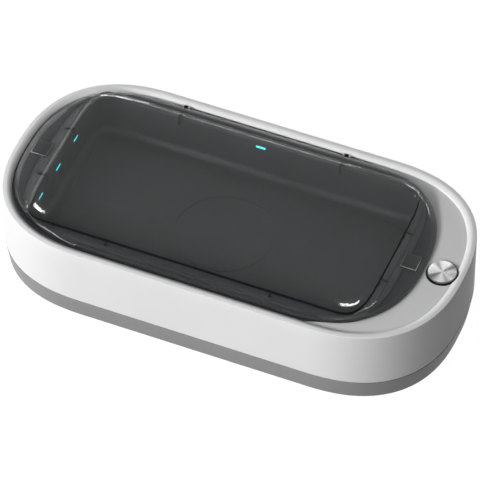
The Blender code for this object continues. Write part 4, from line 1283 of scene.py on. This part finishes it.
# Each lamp: name, bearing and height in degrees, distance, width and height in
# metres, roll in degrees, power, and which surfaces it is hidden from.
LAMPS = (
    ("key", -140.3, 28.3, 1.73, 1.8, 0.3, 0, 34.0, "visible_glossy"),
    ("fill", -76.9, 28.0, 1.75, 0.9, 0.3, 0, 8.0, "visible_glossy"),
    ("back", 97.0, 5.0, 1.75, 1.8, 0.2, 0, 15.0, "visible_glossy"),
    ("corner_glint", 134.0, 50.5, 1.50, 0.07, 0.26, 16, 1.2, "visible_diffuse"),
    ("front_glint", 97.0, 60.5, 1.50, 0.32, 0.06, 15, 1.2, "visible_diffuse"),
    ("edge_glint", -125.1, 22.1, 1.60, 0.50, 0.20, 0, 4.7, "visible_diffuse"),
    ("shoulder_glint", 142.0, 22.0, 1.50, 0.50, 0.40, 0, 0.6, "visible_diffuse"),
    ("back_glint", 76.0, 34.0, 1.50, 0.12, 0.12, 0, 0.9, "visible_diffuse"),
)


class SANITISER_OT_stage(bpy.types.Operator):
    """Pale ground, plain soft light and the camera"""

    bl_idname = "sanitiser.stage"
    bl_label = "Stage"

    def execute(self, context):
        context.scene.view_settings.view_transform = "Standard"
        make_ground()
        make_world(context.scene)
        for lamp in LAMPS:
            make_lamp(*lamp)
        make_camera(context.scene)
        return {"FINISHED"}


def make_ground():
    """A wide pale floor: lit plainly, and lifted to white where it is seen
    directly, in a reflection or through the lid."""
    half, bottom, top = 6.0, -0.02, -0.0001
    lift = 0.97
    ground = body("ground", [block((-half, -half, bottom), (half, half, top))])
    paint = Paint("pale_ground", (0.09, 0.09, 0.09), 0.9)
    strength = paint.math("MULTIPLY", paint.seen(), lift)
    paint.set({"Emission Color": (1.0, 1.0, 1.0, 1.0), "Emission Strength": strength})
    ground.data.materials.append(paint.material)


def make_world(scene):
    """Faint level light from all sides.  Where it is seen, in a reflection
    too, it is white near the ground and greyer towards the ceiling."""
    stage = sizes("stage")
    world = bpy.data.worlds.new("studio")
    scene.world = world
    world.use_nodes = True
    graph = Graph(world.node_tree)
    where = graph.add("ShaderNodeTexCoord").outputs["Generated"]
    height = graph.add("ShaderNodeSeparateXYZ", {0: where}).outputs["Z"]
    sockets = {"Value": height, "From Min": 0.15, "From Max": 0.95}
    sockets |= {"To Min": 1.0, "To Max": stage.ceiling}
    sky = graph.add("ShaderNodeMapRange", sockets).outputs[0]
    sockets = {"Factor": graph.seen(), "A": stage.ambient, "B": sky}
    strength = graph.add("ShaderNodeMix", sockets, data_type="FLOAT").outputs[0]
    graph.fill(graph.nodes["Background"], {"Color": (1, 1, 1, 1), "Strength": strength})


def direction(bearing, rise):
    """Unit vector at a bearing from X and a rise above the ground."""
    flat = math.cos(rise)
    return Vector((flat * math.cos(bearing), flat * math.sin(bearing), math.sin(rise)))


def make_lamp(name, bearing, rise, distance, width, height, roll, power, hidden):
    """A soft rectangular lamp that faces the box.  It either lights the
    surfaces or is mirrored in them, and is hidden from the other."""
    place = distance * direction(math.radians(bearing), math.radians(rise))
    light = bpy.data.lights.new(name, "AREA")
    light.shape = "RECTANGLE"
    light.size, light.size_y = width, height
    light.energy = power
    lamp = bpy.data.objects.new(name, light)
    lamp.location = place
    lamp.rotation_mode = "QUATERNION"
    turn = Quaternion((0, 0, 1), math.radians(roll))
    lamp.rotation_quaternion = (-place).to_track_quat("-Z", "Y") @ turn
    lamp.visible_camera = False
    setattr(lamp, hidden, False)
    bpy.context.scene.collection.objects.link(lamp)


def make_camera(scene):
    """The camera looks at the box from the front right, above."""
    stage = sizes("stage")
    yaw, pitch = math.radians(stage.yaw), math.radians(stage.pitch)
    flat = math.cos(pitch)
    back = Vector((math.sin(yaw) * flat, -math.cos(yaw) * flat, math.sin(pitch)))
    right = Vector((math.cos(yaw), math.sin(yaw), 0))
    up = back.cross(right)
    data = bpy.data.cameras.new("view")
    data.lens = stage.lens
    data.clip_start, data.clip_end = 0.1, 20.0
    camera = bpy.data.objects.new("view", data)
    foot = Vector((0, 0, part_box("lower_housing")[0][2]))
    camera.location = foot + back * stage.distance + right * stage.aim_right + up * stage.aim_up
    camera.rotation_mode = "QUATERNION"
    camera.rotation_quaternion = Matrix((right, up, back)).transposed().to_quaternion()
    scene.collection.objects.link(camera)
    scene.camera = camera


OPERATORS = (
    SANITISER_OT_wall,
    SANITISER_OT_base,
    SANITISER_OT_deck,
    SANITISER_OT_cavity,
    SANITISER_OT_lid,
    SANITISER_OT_button,
    SANITISER_OT_lamps,
    SANITISER_OT_fittings,
    SANITISER_OT_feet,
    SANITISER_OT_stage,
)


class SANITISER_PT_panel(bpy.types.Panel):
    """Lists the box's pieces"""

    bl_idname = "SANITISER_PT_panel"
    bl_label = "Phone sanitiser box"
    bl_space_type = "VIEW_3D"
    bl_region_type = "UI"
    bl_category = "Sanitiser"

    def draw(self, context):
        for operator in OPERATORS:
            self.layout.operator(operator.bl_idname)


GROUPS = (CaseSizes, CavitySizes, LidSizes, ButtonSizes, Finishes, StageSettings)
CLASSES = (*GROUPS, SanitiserProps, *OPERATORS, SANITISER_PT_panel)


def register():
    """Registers the add-on's classes and properties."""
    for made in CLASSES:
        bpy.utils.register_class(made)
    bpy.types.Scene.sanitiser = PointerProperty(type=SanitiserProps)


def unregister():
    """Takes the add-on's classes and properties away."""
    del bpy.types.Scene.sanitiser
    for made in reversed(CLASSES):
        bpy.utils.unregister_class(made)


def main():
    """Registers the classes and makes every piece."""
    register()
    for operator in OPERATORS:
        group, name = operator.bl_idname.split(".")
        getattr(getattr(bpy.ops, group), name)()


if __name__ == "__main__":
    main()
